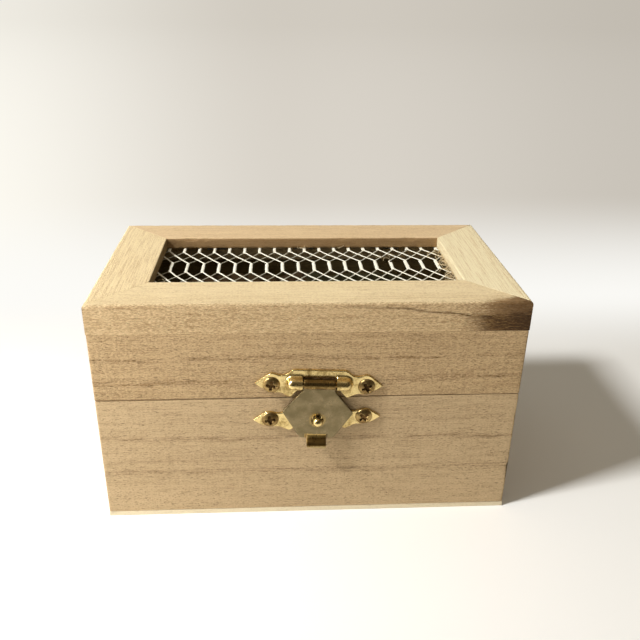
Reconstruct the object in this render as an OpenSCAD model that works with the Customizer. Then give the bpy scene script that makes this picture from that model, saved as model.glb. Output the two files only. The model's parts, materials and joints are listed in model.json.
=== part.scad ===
// Jack in the box: a small wooden box with a meshed window in its hinged lid,
// a brass hasp at the front, two butt hinges behind, and a sprung doll inside.
// Origin: middle of the underside. +X right, +Y back, +Z up. Millimetres.

/* [Box] */
// Width of the box, left to right
box_w = 116; // [100:1:140]
// Depth of the wooden box, front to back
box_d = 65.2; // [62:0.2:80]
// Height of the closed box
box_h = 67.1; // [64:0.1:80]
// Thickness of the side walls
wall_t = 4.5; // [3.5:0.1:5]
// Thickness of the plywood bottom
bottom_t = 1.5; // [1:0.1:3]
// Height of the seam between base and lid
seam_z = 39.2; // [36:0.1:42]
// Gap that shows along the seam
seam_gap = 0.3; // [0.1:0.05:0.5]

/* [Lid frame] */
// Thickness of the mitred strips on top of the lid
frame_t = 8.4; // [7:0.1:10]
// Width of the left strip
strip_left_w = 14.5; // [12:0.1:18]
// Width of the right strip
strip_right_w = 14.8; // [12:0.1:18]
// Width of the front strip
strip_front_w = 15.1; // [12:0.1:18]
// Width of the back strip
strip_back_w = 13.9; // [12:0.1:18]
// Depth of the mesh below the top of the frame
lip_t = 3.3; // [2:0.1:4]
// How far the rebate under the lip goes back from the window
rebate_w = 3.3; // [2:0.1:5]
// Radius of the eased outer edges
edge_r = 1.2; // [0.5:0.1:2]

/* [Mesh] */
// Distance between neighbouring bars of the mesh
mesh_pitch = 4.75; // [4:0.05:6]
// Distance between two rows of bars
mesh_row = 16.7; // [12:0.1:20]
// Length of a bar
mesh_bar_len = 7; // [6:0.1:10]
// Width of one strand
strand_w = 0.46; // [0.3:0.02:0.8]
// Thickness of one strand
strand_t = 0.4; // [0.3:0.02:0.8]
// Place of the middle row of bars, behind the box's middle
mesh_row_y = 1.8; // [0:0.1:6]
// How far the mesh is turned in the window, in degrees
mesh_turn = 2.3; // [0:0.1:4]

/* [Hasp] */
// Place of the hasp, right of the box's middle
hasp_x = 2.3; // [-5:0.1:5]
// Height of the flap's pin
hasp_pin_z = 44.1; // [44:0.1:46]
// Clockwise lean of the upper plate and the flap, in degrees
hasp_lean = 2.4; // [0:0.1:3]
// Height of the stud on the catch plate
stud_z = 32.9; // [32.5:0.1:33.5]
// Anticlockwise lean of the catch plate, in degrees
catch_lean = 1; // [0:0.1:2]
// Thickness of the two plates
plate_t = 0.7; // [0.5:0.1:0.8]
// Thickness of the flap
flap_t = 0.8; // [0.6:0.1:0.9]
// Diameter of the screw heads
screw_head_d = 4.7; // [4.4:0.1:5]

/* [Rear hinges] */
// Distance of each hinge from the box's middle
hinge_x = 34; // [28:1:40]
// Width of one hinge
hinge_w = 18; // [14:1:20]
// Height of one hinge leaf, from the pin
leaf_h = 8.5; // [7:0.5:10]

/* [Jack] */
// Radius of the doll's wooden head
head_r = 16.3; // [15:0.1:17]
// Height of the middle of the head, with the lid shut
head_z = 44.2; // [43:0.1:45]
// Radius of the spring, to the middle of its wire
spring_r = 12.5; // [10:0.5:14]
// Diameter of the spring's wire
wire_d = 1.2; // [0.8:0.1:1.6]
// Turns of the spring
spring_turns = 7; // [5:1:9]

/* [Hidden] */
$fn = 48;

eps = 0.01;              // cuts run this far past a face
fit = 0.05;              // radial room of a pin or screw in its hole
half_w = box_w / 2;
half_d = box_d / 2;
inner_d = box_d - 2 * wall_t;
lid_z = seam_z + seam_gap / 2;
base_top = seam_z - seam_gap / 2;
frame_z = box_h - frame_t;
mesh_z = box_h - lip_t;  // underside of the lip, where the mesh is fixed

// Window in the lid, as [left, right, front, back]
window = [
    -half_w + strip_left_w, half_w - strip_right_w,
    -half_d + strip_front_w, half_d - strip_back_w
];

// Hasp: distances in front of the wood
pin_out = 1.6;
pin_r = 0.9;
roll_r = 1.45;           // outside radius of the flap's rolled edge
roll_half = 4.3;
bulge_r = 1.7;           // the plate's bulges that hold the pin
bulge_half = 8.8;
screw_u = 12.9;          // screws, from the hasp's middle
screw_v = -1.05;         // screws of the upper plate, from the pin
screw_r = 1.2;
screw_len = 4;
screw_dome = 1.1;
stud_neck_r = 0.85;
stud_ball_r = 1.4;
stud_out = 2.8;
stud_hole_r = 1.6;
tab_half = 2.7;

// Rear hinges
leaf_t = 0.8;
knuckle_r = 1.35;
hinge_out = 1.45;        // pin, behind the wood
hinge_pin_r = 0.6;
knuckle_gap = 0.2;
leaf_gap = 0.25;         // leaf's edge to the pin's height
nail_r = 0.8;
nail_head_r = 1.5;
nail_u = 5.6;
nail_v = 5.4;
nail_len = 3.6;

// Jack, with the lid shut
board_w = 46;
board_t = 3;
board_top = bottom_t + board_t;
disc_r = 17;
disc_t = 3;
disc_z = 21.5;
disc_top = disc_z + disc_t;
dowel_r = 5;
dowel_in = 7;            // dowel inside the head
hat_t = 1.3;
hat_r = head_r + hat_t;
hat_gap = 0.1;
sleeve_r = 21;
sleeve_in_r = 17.6;
sleeve_folds = 4;
ruff_r = 21;
horn_tip = [41, 6, 52];
bell_r = 3;

// ---- Boards ----

module bottom_panel() {
    color("wheat")
        translate([-half_w, -half_d, 0]) cube([box_w, box_d, bottom_t]);
}

// A wall across the whole width, at the front (side = -1) or the back (side = 1)
module long_wall(side, z0, z1) {
    translate([-half_w, side < 0 ? -half_d : half_d - wall_t, z0]) cube([box_w, wall_t, z1 - z0]);
}

// A wall between the long ones, at the left (side = -1) or the right (side = 1)
module short_wall(side, z0, z1) {
    translate([side < 0 ? -half_w : half_w - wall_t, -half_d + wall_t, z0])
        cube([wall_t, inner_d, z1 - z0]);
}

module base_front_wall() {
    color("burlywood") difference() {
        long_wall(-1, bottom_t, base_top);
        on_catch() for (s = [-1, 1]) translate([s * screw_u, 0, 0]) screw_hole(screw_r, screw_len);
        on_catch() translate([0, 0, -1]) cylinder(r = stud_neck_r + fit, h = 1 + eps);
    }
}

module base_back_wall() {
    color("burlywood") difference() {
        long_wall(1, bottom_t, base_top);
        at_nails(-1) screw_hole(nail_r, nail_len);
    }
}

module base_left_wall() {
    color("burlywood") short_wall(-1, bottom_t, base_top);
}

module base_right_wall() {
    color("burlywood") short_wall(1, bottom_t, base_top);
}

module lid_front_wall() {
    color("burlywood") difference() {
        long_wall(-1, lid_z, frame_z);
        on_hasp() for (s = [-1, 1])
            translate([s * screw_u, screw_v, 0]) screw_hole(screw_r, screw_len);
    }
}

module lid_back_wall() {
    color("burlywood") difference() {
        long_wall(1, lid_z, frame_z);
        at_nails(1) screw_hole(nail_r, nail_len);
    }
}

module lid_left_wall() {
    color("burlywood") short_wall(-1, lid_z, frame_z);
}

module lid_right_wall() {
    color("burlywood") short_wall(1, lid_z, frame_z);
}

// ---- Mitred frame round the window ----

// What a quarter-round edge along +X takes away, with the solid below and behind it
module edge_cut(length, r) {
    rotate([90, 0, 90]) linear_extrude(length) difference() {
        translate([-1, 0]) square([r + 1, r + 1]);
        translate([r, 0]) circle(r = r);
    }
}

module frame_block() {
    difference() {
        translate([-half_w, -half_d, frame_z]) cube([box_w, box_d, frame_t]);
        translate([window[0], window[2], frame_z - 1])
            cube([window[1] - window[0], window[3] - window[2], frame_t + 2]);
        translate([window[0] - rebate_w, window[2] - rebate_w, frame_z - 1])
            cube([window[1] - window[0] + 2 * rebate_w, window[3] - window[2] + 2 * rebate_w,
                  mesh_z - frame_z + 1]);
    }
}

// The strip whose plan runs from the outer corners a and b to the window's corners c and d.
// Its outer edge runs from a in the direction given, in degrees.
module strip(a, b, c, d, turn) {
    color("tan") difference() {
        intersection() {
            frame_block();
            translate([0, 0, frame_z - 1]) linear_extrude(frame_t + 2) polygon([a, b, c, d]);
        }
        translate([a[0], a[1], box_h - edge_r]) rotate(turn) translate([-1, 0, 0])
            edge_cut(norm(b - a) + 2, edge_r);
    }
}

module lid_frame_front() {
    strip([-half_w, -half_d], [half_w, -half_d], [window[1], window[2]], [window[0], window[2]], 0);
}

module lid_frame_back() {
    strip([half_w, half_d], [-half_w, half_d], [window[0], window[3]], [window[1], window[3]], 180);
}

module lid_frame_left() {
    strip([-half_w, half_d], [-half_w, -half_d], [window[0], window[2]], [window[0], window[3]], -90);
}

module lid_frame_right() {
    strip([half_w, -half_d], [half_w, half_d], [window[1], window[3]], [window[1], window[2]], 90);
}

// ---- Mesh in the window ----

mesh_margin = rebate_w - 0.3;
selvedge_w = 0.8;
mesh_reach = 1.5 * mesh_pitch;               // sideways run of a diagonal strand
mesh_diag = mesh_row - mesh_bar_len;         // front-to-back run of a diagonal strand
mesh_lean = atan2(mesh_reach, mesh_diag);
mesh_cols = ceil((window[1] - window[0]) / mesh_pitch / 2) + 3;

module flat_strand(length, width) {
    translate([-width / 2, -length / 2]) square([width, length]);
}

module mesh_pattern() {
    for (row = [-2:2]) {
        row_y = mesh_row_y + row * mesh_row;
        shift = (1 - abs(row) % 2) * mesh_pitch / 2;
        for (col = [-mesh_cols:mesh_cols]) translate([col * mesh_pitch + shift, row_y]) {
            flat_strand(mesh_bar_len + strand_w, 2 * strand_w);
            for (s = [-1, 1])
                translate([s * mesh_reach / 2, -mesh_row / 2])
                    rotate(s * mesh_lean) flat_strand(norm([mesh_reach, mesh_diag]), strand_w);
        }
    }
}

// The sheet's outline, that far outside the window
module mesh_outline(margin) {
    translate([window[0] - margin, window[2] - margin])
        square([window[1] - window[0] + 2 * margin, window[3] - window[2] + 2 * margin]);
}

module window_mesh() {
    color("ivory") translate([0, 0, mesh_z - strand_t]) linear_extrude(strand_t) {
        intersection() {
            rotate(mesh_turn) mesh_pattern();
            mesh_outline(mesh_margin);
        }
        difference() {
            mesh_outline(mesh_margin);
            mesh_outline(mesh_margin - selvedge_w);
        }
    }
}

staple_w = 6;
staple_wire = 0.6;
staple_leg = 3;

// A square wire staple with its back on z = 0 and its legs going up
module staple(width, wire, leg) {
    translate([-width / 2, -wire / 2, 0]) cube([width, wire, wire]);
    for (s = [-1, 1]) translate([s * (width - wire) / 2 - wire / 2, -wire / 2, 0]) cube([wire, wire, leg]);
}

module mesh_staples() {
    staple_in = rebate_w / 2;
    color("silver") for (x = [-28, 0, 28], side = [-1, 1])
        translate([x, side < 0 ? window[2] - staple_in : window[3] + staple_in,
                   mesh_z - strand_t - staple_wire])
            staple(staple_w, staple_wire, staple_leg);
}

// ---- Hasp: drawn flat as [u right, v up], with z out of the wood ----

module on_hasp() {
    translate([hasp_x, -half_d, hasp_pin_z]) rotate([0, hasp_lean, 0]) rotate([90, 0, 0]) children();
}

module on_catch() {
    translate([hasp_x - tan(hasp_lean) * (hasp_pin_z - stud_z), -half_d, stud_z])
        rotate([0, -catch_lean, 0]) rotate([90, 0, 0]) children();
}

module screw_hole(r, length) {
    translate([0, 0, -length - 0.2]) cylinder(r = r + fit, h = length + 0.2 + eps);
}

// Right half of a plate's outline, from its top middle round to its bottom middle
top_half = [
    [0, 3.75], [7.2, 3.75], [9.1, 2.1], [10.9, 1.9], [13, 2.8], [14.9, 1.3], [17.4, -0.75],
    [14.9, -2.5], [12.8, -3.6], [10.6, -3.3], [7.6, -4.8], [5.9, -2.8], [4.5, -2.2], [4.5, 1.5], [0, 1.5]
];
catch_half = [
    [0, 2.2], [8.5, 2.2], [10.6, 1.7], [13.6, 2.6], [15.3, 1.4], [17.6, -0.1], [15.3, -1.8],
    [13, -2.6], [10.6, -2.3], [7.6, -3.9], [5.5, -2.2], [0, -2.2]
];
flap_half = [
    [0, -1], [4.3, -1], [4.3, -2], [9.75, -8.75], [4.6, -17], [2.9, -17], [2.9, -15.6], [0, -15.6]
];

function mirrored(half) =
    concat(half, [for (i = [len(half) - 1:-1:0]) if (half[i][0] > 0) [-half[i][0], half[i][1]]]);

module pin_rod(r, half_length) {
    translate([0, 0, pin_out]) rotate([0, 90, 0]) cylinder(r = r, h = 2 * half_length, center = true);
}

// Half section of a bulge: a round bar with a domed outer end
module bulge_profile() {
    bar = bulge_half - bulge_r - roll_half - 0.2;
    square([bulge_r, bar]);
    intersection() {
        translate([0, bar]) circle(r = bulge_r);
        translate([0, bar - eps]) square([bulge_r, bulge_r + 1]);
    }
}

module hasp_top_plate() {
    color("goldenrod") on_hasp() difference() {
        union() {
            linear_extrude(plate_t) polygon(mirrored(top_half));
            intersection() {
                for (s = [-1, 1]) translate([s * (roll_half + 0.2), 0, pin_out]) rotate([0, s * 90, 0])
                    rotate_extrude() bulge_profile();
                translate([-20, -5, 0]) cube([40, 10, 10]);
            }
        }
        pin_rod(pin_r + fit / 2, bulge_half - 1);
        for (s = [-1, 1])
            translate([s * screw_u, screw_v, -1]) cylinder(r = screw_r + fit, h = plate_t + 2);
    }
}

module hasp_pin() {
    color("goldenrod") on_hasp() pin_rod(pin_r, bulge_half - 1.1);
}

// Side view of the finger tab: out from the flap, then down
tab_side = [
    [-15.4, 1.2], [-16.6, 1.3], [-17.4, 2], [-18.1, 2.9], [-19.2, 3.1],
    [-19.2, 3.9], [-18, 3.8], [-17.1, 3.1], [-16.3, 2.2], [-15.4, 2]
];

module hasp_flap() {
    color("lightslategray") on_hasp() difference() {
        union() {
            pin_rod(roll_r, roll_half);
            translate([0, 0, pin_out - flap_t / 2]) linear_extrude(flap_t) polygon(mirrored(flap_half));
            translate([-tab_half, 0, 0]) rotate([90, 0, 90]) linear_extrude(2 * tab_half) polygon(tab_side);
        }
        pin_rod(pin_r + fit, roll_half + 1);
        translate([0, stud_z - hasp_pin_z, 0]) cylinder(r = stud_hole_r, h = 5);
    }
}

module catch_plate() {
    color("goldenrod") on_catch() difference() {
        linear_extrude(plate_t) polygon(mirrored(catch_half));
        for (s = [-1, 1]) translate([s * screw_u, 0, -1]) cylinder(r = screw_r + fit, h = plate_t + 2);
        translate([0, 0, -1]) cylinder(r = stud_neck_r + fit, h = plate_t + 2);
    }
}

module catch_stud() {
    color("gold") on_catch() {
        translate([0, 0, -0.8]) cylinder(r = stud_neck_r, h = stud_out + 0.8);
        translate([0, 0, stud_out]) sphere(r = stud_ball_r);
    }
}

// A pan-headed screw with a cross recess, its head resting on z = 0
module cross_screw(head_r, dome, shank_r, length) {
    slot_w = head_r * 0.28;
    slot_l = head_r * 1.15;
    ball_r = (head_r * head_r + dome * dome) / (2 * dome);
    difference() {
        union() {
            intersection() {
                translate([0, 0, dome - ball_r]) sphere(r = ball_r, $fn = 64);
                cylinder(r = head_r + 1, h = dome + 1);
            }
            translate([0, 0, -length]) cylinder(r = shank_r, h = length + dome / 4);
        }
        for (a = [0, 90])
            rotate(a) translate([-slot_l / 2, -slot_w / 2, dome * 0.4]) cube([slot_l, slot_w, dome]);
    }
}

module hasp_screw() {
    cross_screw(screw_head_d / 2, screw_dome, screw_r, screw_len + plate_t);
}

module hasp_lid_screws() {
    color("darkgoldenrod") on_hasp() for (s = [-1, 1])
        translate([s * screw_u, screw_v, plate_t]) rotate(20 * s + 10) hasp_screw();
}

module hasp_base_screws() {
    color("darkgoldenrod") on_catch() for (s = [-1, 1])
        translate([s * screw_u, 0, plate_t]) rotate(15 * s + 25) hasp_screw();
}

// ---- Rear hinges: drawn flat, with z out of the back of the box ----

module on_back(x) {
    translate([x, half_d, seam_z]) rotate([90, 0, 180]) children();
}

// At every nail of the lid (side = 1) or the base (side = -1)
module at_nails(side) {
    for (h = [-1, 1], s = [-1, 1]) on_back(h * hinge_x) translate([s * nail_u, side * nail_v, 0]) children();
}

module hinge_knuckle(u0, u1) {
    translate([u0, 0, hinge_out]) rotate([0, 90, 0]) cylinder(r = knuckle_r, h = u1 - u0);
}

// Room in a leaf for the other leaf's knuckle
module leaf_notch(u0, u1) {
    translate([u0, -2, -1]) cube([u1 - u0, 4, 5]);
}

module leaf(side) {
    third = hinge_w / 6;
    difference() {
        union() {
            translate([-hinge_w / 2, side > 0 ? leaf_gap : -leaf_h, 0])
                cube([hinge_w, leaf_h - leaf_gap, leaf_t]);
            if (side > 0) hinge_knuckle(-third + knuckle_gap / 2, third - knuckle_gap / 2);
            else {
                hinge_knuckle(-hinge_w / 2, -third - knuckle_gap / 2);
                hinge_knuckle(third + knuckle_gap / 2, hinge_w / 2);
            }
        }
        translate([-hinge_w, 0, hinge_out]) rotate([0, 90, 0])
            cylinder(r = hinge_pin_r + fit, h = 2 * hinge_w);
        if (side > 0) {
            leaf_notch(-hinge_w / 2 - 1, -third + knuckle_gap / 2);
            leaf_notch(third - knuckle_gap / 2, hinge_w / 2 + 1);
        } else
            leaf_notch(-third - knuckle_gap / 2, third + knuckle_gap / 2);
        for (s = [-1, 1]) translate([s * nail_u, side * nail_v, -1]) cylinder(r = nail_r + fit, h = 4);
    }
}

module hinge_pin() {
    translate([-hinge_w / 2, 0, hinge_out]) rotate([0, 90, 0]) cylinder(r = hinge_pin_r, h = hinge_w);
}

module nail() {
    translate([0, 0, leaf_t]) cross_screw(nail_head_r, 0.7, nail_r, nail_len + leaf_t);
}

module left_hinge_lid_leaf() { color("goldenrod") on_back(-hinge_x) leaf(1); }
module left_hinge_base_leaf() { color("goldenrod") on_back(-hinge_x) leaf(-1); }
module left_hinge_pin() { color("darkgoldenrod") on_back(-hinge_x) hinge_pin(); }
module right_hinge_lid_leaf() { color("goldenrod") on_back(hinge_x) leaf(1); }
module right_hinge_base_leaf() { color("goldenrod") on_back(hinge_x) leaf(-1); }
module right_hinge_pin() { color("darkgoldenrod") on_back(hinge_x) hinge_pin(); }
module hinge_lid_screws() { color("darkgoldenrod") at_nails(1) nail(); }
module hinge_base_screws() { color("darkgoldenrod") at_nails(-1) nail(); }

// ---- Jack ----

module spring_board() {
    color("tan") translate([-board_w / 2, -board_w / 2, bottom_t]) cube([board_w, board_w, board_t]);
}

module seat_disc() {
    color("tan") translate([0, 0, disc_z]) cylinder(r = disc_r, h = disc_t);
}

// Points of a ring of the wire, at angle a of the coil and height z
wire_sides = 8;
steps_per_turn = 24;
coil_steps = spring_turns * steps_per_turn;
coil_low = board_top + wire_d / 2;
coil_high = disc_z - wire_d / 2;
end_pitch = wire_d + 0.2;  // the first and last turns lie close
mid_pitch = (coil_high - coil_low - 2 * end_pitch) / (spring_turns - 2);
function coil_height(turn) = coil_low + end_pitch * (min(turn, 1) + max(turn - spring_turns + 1, 0))
    + mid_pitch * min(max(turn - 1, 0), spring_turns - 2);
function wire_ring(i) = let (turn = i / steps_per_turn, a = 360 * turn)
    [for (k = [0:wire_sides - 1]) let (b = 360 * k / wire_sides, r = spring_r + wire_d / 2 * cos(b))
        [r * cos(a), r * sin(a), coil_height(turn) + wire_d / 2 * sin(b)]];

module spring() {
    points = [for (i = [0:coil_steps]) each wire_ring(i)];
    sides = [for (i = [0:coil_steps - 1], k = [0:wire_sides - 1])
        let (n = (k + 1) % wire_sides, j = i * wire_sides)
        [j + k, j + n, j + n + wire_sides, j + k + wire_sides]];
    start = [for (k = [wire_sides - 1:-1:0]) k];
    end = [for (k = [0:wire_sides - 1]) coil_steps * wire_sides + k];
    color("silver") polyhedron(points, concat(sides, [start, end]), convexity = 10);
}

// Staples that hold the spring's end turns: two on the board, two under the disc.
// They sit this many degrees from the wire's end, where the next turn leaves room for them.
spring_staple_at = [190, 320];

module spring_staple() {
    staple(2 * wire_d + 1.2, staple_wire, wire_d + 3.2);
}

module lower_spring_staples() {
    color("silver") for (a = spring_staple_at)
        rotate(a) translate([spring_r, 0, coil_height(a / 360) + wire_d / 2 + 0.1 + staple_wire])
            mirror([0, 0, 1]) spring_staple();
}

module upper_spring_staples() {
    color("silver") for (a = spring_staple_at)
        rotate(-a)
            translate([spring_r, 0, coil_height(spring_turns - a / 360) - wire_d / 2 - 0.1 - staple_wire])
                spring_staple();
}

// The cloth is bunched up in folds round the pressed spring
module cloth_sleeve() {
    low = board_top + 0.1;
    high = disc_top;
    fold_steps = sleeve_folds * 8;
    outside = [for (i = [0:fold_steps]) let (t = i / fold_steps)
        [sleeve_r - 1 - cos(360 * sleeve_folds * t), low + (high - low) * t]];
    color("firebrick") rotate_extrude($fn = 64)
        polygon(concat([[sleeve_in_r, low]], outside, [[sleeve_in_r, high]]));
}

module ruff_collar() {
    color("antiquewhite") translate([0, 0, disc_top]) rotate_extrude($fn = 64)
        polygon([[dowel_r + 0.3, 0.1], [ruff_r - 1, 0.3], [ruff_r, 2.4], [ruff_r - 2, 4.8],
                 [15, 4.6], [dowel_r + 0.3, 2.4]]);
}

module neck_dowel() {
    color("tan") translate([0, 0, disc_top]) cylinder(r = dowel_r, h = head_z - head_r + dowel_in - disc_top);
}

module head() {
    color("navajowhite") difference() {
        translate([0, 0, head_z]) sphere(r = head_r, $fn = 64);
        translate([0, 0, head_z - head_r - 1]) cylinder(r = dowel_r + 0.02, h = dowel_in + 1.1);
    }
}

nose_r = 2.5;

// A bead with a flat back
module nose() {
    color("crimson") translate([0, -head_r - 0.03, head_z - 1]) rotate([90, 0, 0]) rotate_extrude()
        intersection() {
            translate([0, nose_r / 2]) circle(r = nose_r);
            square(2 * nose_r);
        }
}

// One drooping horn of the hat, as balls joined in turn: [x, y, z, radius]
horn = [[7, 2, 52.6, 8], [20, 4, 54.2, 6.8], [33, 5.5, 54, 5], [horn_tip[0], horn_tip[1], horn_tip[2], 3]];

module hat() {
    brim_z = head_z + 4.5;
    color("#1d1712") difference() {
        union() {
            intersection() {
                translate([0, 0, head_z]) sphere(r = hat_r, $fn = 40);
                translate([0, 0, brim_z + 25]) cube(50, center = true);
            }
            for (s = [-1, 1], i = [0:len(horn) - 2]) hull() for (j = [i, i + 1])
                translate([s * horn[j][0], horn[j][1], horn[j][2]]) sphere(r = horn[j][3], $fn = 20);
        }
        translate([0, 0, head_z]) sphere(r = head_r + hat_gap, $fn = 64);
        translate([-18, -25, brim_z - 10]) cube([36, 50, 10]);
    }
}

module hat_band() {
    color("darkgoldenrod") translate([0, 0, head_z + 1.9]) rotate_extrude($fn = 64)
        polygon([[head_r - 0.1, 0], [head_r + hat_t, 0], [head_r + hat_t, 2.4], [head_r - 0.1, 2.4]]);
}

module hat_bells() {
    color("gold") for (s = [-1, 1])
        translate([s * (horn_tip[0] + 3), horn_tip[1], horn_tip[2] - bell_r - 2.6]) sphere(r = bell_r);
}

bottom_panel();
base_front_wall();
base_back_wall();
base_left_wall();
base_right_wall();
lid_front_wall();
lid_back_wall();
lid_left_wall();
lid_right_wall();
lid_frame_front();
lid_frame_back();
lid_frame_left();
lid_frame_right();
window_mesh();
mesh_staples();
hasp_top_plate();
hasp_flap();
hasp_pin();
catch_plate();
catch_stud();
hasp_lid_screws();
hasp_base_screws();
left_hinge_lid_leaf();
left_hinge_base_leaf();
left_hinge_pin();
right_hinge_lid_leaf();
right_hinge_base_leaf();
right_hinge_pin();
hinge_lid_screws();
hinge_base_screws();
spring_board();
spring();
lower_spring_staples();
upper_spring_staples();
seat_disc();
cloth_sleeve();
ruff_collar();
neck_dowel();
head();
nose();
hat();
hat_band();
hat_bells();
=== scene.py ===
"""Jack in the box: the looks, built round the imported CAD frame. Lengths are in millimetres; MM makes them metres."""
import json
import random
from itertools import groupby
from math import asin, ceil, cos, degrees, dist, exp, hypot, pi, radians, sin, sqrt, tan, tau

import bmesh
import bpy
import numpy as np
from mathutils import Matrix, Vector, geometry, noise


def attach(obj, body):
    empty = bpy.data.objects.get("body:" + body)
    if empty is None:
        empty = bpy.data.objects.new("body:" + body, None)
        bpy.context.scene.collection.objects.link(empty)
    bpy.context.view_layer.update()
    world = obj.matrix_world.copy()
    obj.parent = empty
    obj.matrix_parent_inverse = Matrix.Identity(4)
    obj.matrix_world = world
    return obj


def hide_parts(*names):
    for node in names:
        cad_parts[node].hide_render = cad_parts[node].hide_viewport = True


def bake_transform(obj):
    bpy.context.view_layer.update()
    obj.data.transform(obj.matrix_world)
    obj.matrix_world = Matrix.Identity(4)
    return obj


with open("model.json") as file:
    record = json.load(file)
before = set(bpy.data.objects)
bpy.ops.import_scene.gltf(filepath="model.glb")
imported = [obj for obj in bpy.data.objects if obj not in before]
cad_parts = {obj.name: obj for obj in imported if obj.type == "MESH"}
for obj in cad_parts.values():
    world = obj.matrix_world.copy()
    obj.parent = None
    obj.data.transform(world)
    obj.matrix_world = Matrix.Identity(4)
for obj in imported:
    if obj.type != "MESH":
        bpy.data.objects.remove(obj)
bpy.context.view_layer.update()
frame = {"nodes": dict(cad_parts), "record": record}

MM = 0.001
NODES = frame["nodes"]
NODE_BODY = {node: body for body, nodes in frame["record"]["behaviour"]["bodies"].items() for node in nodes}

# ---- Sizes that part.scad gives ----
BOX_W, BOX_D, BOX_H = 116.0, 65.2, 67.1
HW, HD = BOX_W / 2, BOX_D / 2
WALL, PLY, SEAM, GAP = 4.5, 1.5, 39.2, 0.3
FRAME_T, LIP_T, REBATE, EDGE_R = 8.4, 3.3, 3.3, 0.85
STRIP_L, STRIP_R, STRIP_F, STRIP_B = 14.5, 14.8, 15.1, 13.9
FRAME_Z, MESH_Z = BOX_H - FRAME_T, BOX_H - LIP_T
WIN_L, WIN_R, WIN_F, WIN_B = -HW + STRIP_L, HW - STRIP_R, -HD + STRIP_F, HD - STRIP_B


# ---- Camera ----
def add(name, data):
    """An object in the scene."""
    obj = bpy.data.objects.new(name, data)
    bpy.context.scene.collection.objects.link(obj)
    return obj


def make_camera():
    yaw, pitch, roll = radians(3.86), radians(25.42), radians(1.08)
    ahead = Vector((sin(yaw) * cos(pitch), cos(yaw) * cos(pitch), -sin(pitch)))
    level = Vector((cos(yaw), -sin(yaw), 0))
    up = level.cross(ahead)
    right_axis = level * cos(roll) + up * sin(roll)
    up_axis = -level * sin(roll) + up * cos(roll)
    data = bpy.data.cameras.new("camera")
    data.sensor_width = 36
    data.lens = 716 / 640 * data.sensor_width  # 716 pixels in a photo 640 wide
    data.clip_start, data.clip_end = 0.01, 100
    camera = add("camera", data)
    place = Matrix((right_axis, up_axis, -ahead)).transposed().to_4x4()
    place.translation = Vector((-0.0091, -0.1995, 0.1419))
    camera.matrix_world = place
    bpy.context.scene.camera = camera


make_camera()
bpy.context.scene.view_settings.view_transform = "Standard"


# ---- Node helpers ----
class Value:
    """What a node puts out. Sums of values and numbers become Math nodes."""

    def __init__(self, nodes, socket):
        self.nodes, self.socket = nodes, socket

    def __add__(self, other):
        return self.nodes.math("ADD", self, other)

    def __sub__(self, other):
        return self.nodes.math("SUBTRACT", self, other)

    def __rsub__(self, other):
        return self.nodes.math("SUBTRACT", other, self)

    def __mul__(self, other):
        return self.nodes.math("MULTIPLY", self, other)

    def __truediv__(self, other):
        return self.nodes.math("DIVIDE", self, other)

    def __abs__(self):
        return self.nodes.math("ABSOLUTE", self)

    __radd__, __rmul__ = __add__, __mul__


class Nodes:
    """A node tree, and short ways to add nodes to it."""

    def __init__(self, tree):
        self.tree = tree

    def wire(self, value, socket):
        """Links a value to a socket, or sets the number or colour there."""
        value = value.socket if isinstance(value, Value) else value
        if isinstance(value, bpy.types.NodeSocket):
            self.tree.links.new(value, socket)
        else:
            socket.default_value = (*value, 1) if socket.type == "RGBA" and len(value) == 3 else value

    def node(self, kind, inputs=None, out=0, **props):
        n = self.tree.nodes.new("ShaderNode" + kind)
        for key, value in props.items():
            setattr(n, key, value)
        for key, value in (inputs or {}).items():
            self.wire(value, n.inputs[key])
        return Value(self, n.outputs[out])

    def math(self, operation, a, b=0.0, c=0.0, clamp=False):
        return self.node("Math", {0: a, 1: b, 2: c}, operation=operation, use_clamp=clamp)

    def split(self, vector):
        """The X, Y and Z of a vector."""
        n = self.node("SeparateXYZ", {0: vector}).socket.node
        return [Value(self, output) for output in n.outputs]

    def far(self, a, b):
        """How far (a, b) is from (0, 0)."""
        return self.math("SQRT", self.math("POWER", a, 2.0) + self.math("POWER", b, 2.0))

    def step(self, value, low, high, to_low=0.0, to_high=1.0):
        """value mapped smoothly from low..high to to_low..to_high, and held outside."""
        ranges = {"Value": value, "From Min": low, "From Max": high, "To Min": to_low, "To Max": to_high}
        return self.node("MapRange", ranges, interpolation_type="SMOOTHSTEP")

    def ramp(self, value, low, high, stops):
        """A grey level from stops (position, level), position running from low to high."""
        part = self.node("MapRange", {"Value": value, "From Min": low, "From Max": high})
        grey = self.node("ValToRGB", {0: part})
        grey.socket.node.color_ramp.interpolation = "EASE"
        elements = grey.socket.node.color_ramp.elements
        while len(elements) < len(stops):
            elements.new(0.5)
        for element, (position, level) in zip(elements, sorted(stops)):
            element.position = (position - low) / (high - low)
            element.color = (level, level, level, 1)
        return grey

    def mix(self, fac, a, b, blend="MIX"):
        """Colour a where fac is 0, b where it is 1."""
        return self.node("Mix", {0: fac, 6: a, 7: b}, 2, data_type="RGBA", blend_type=blend)


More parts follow.
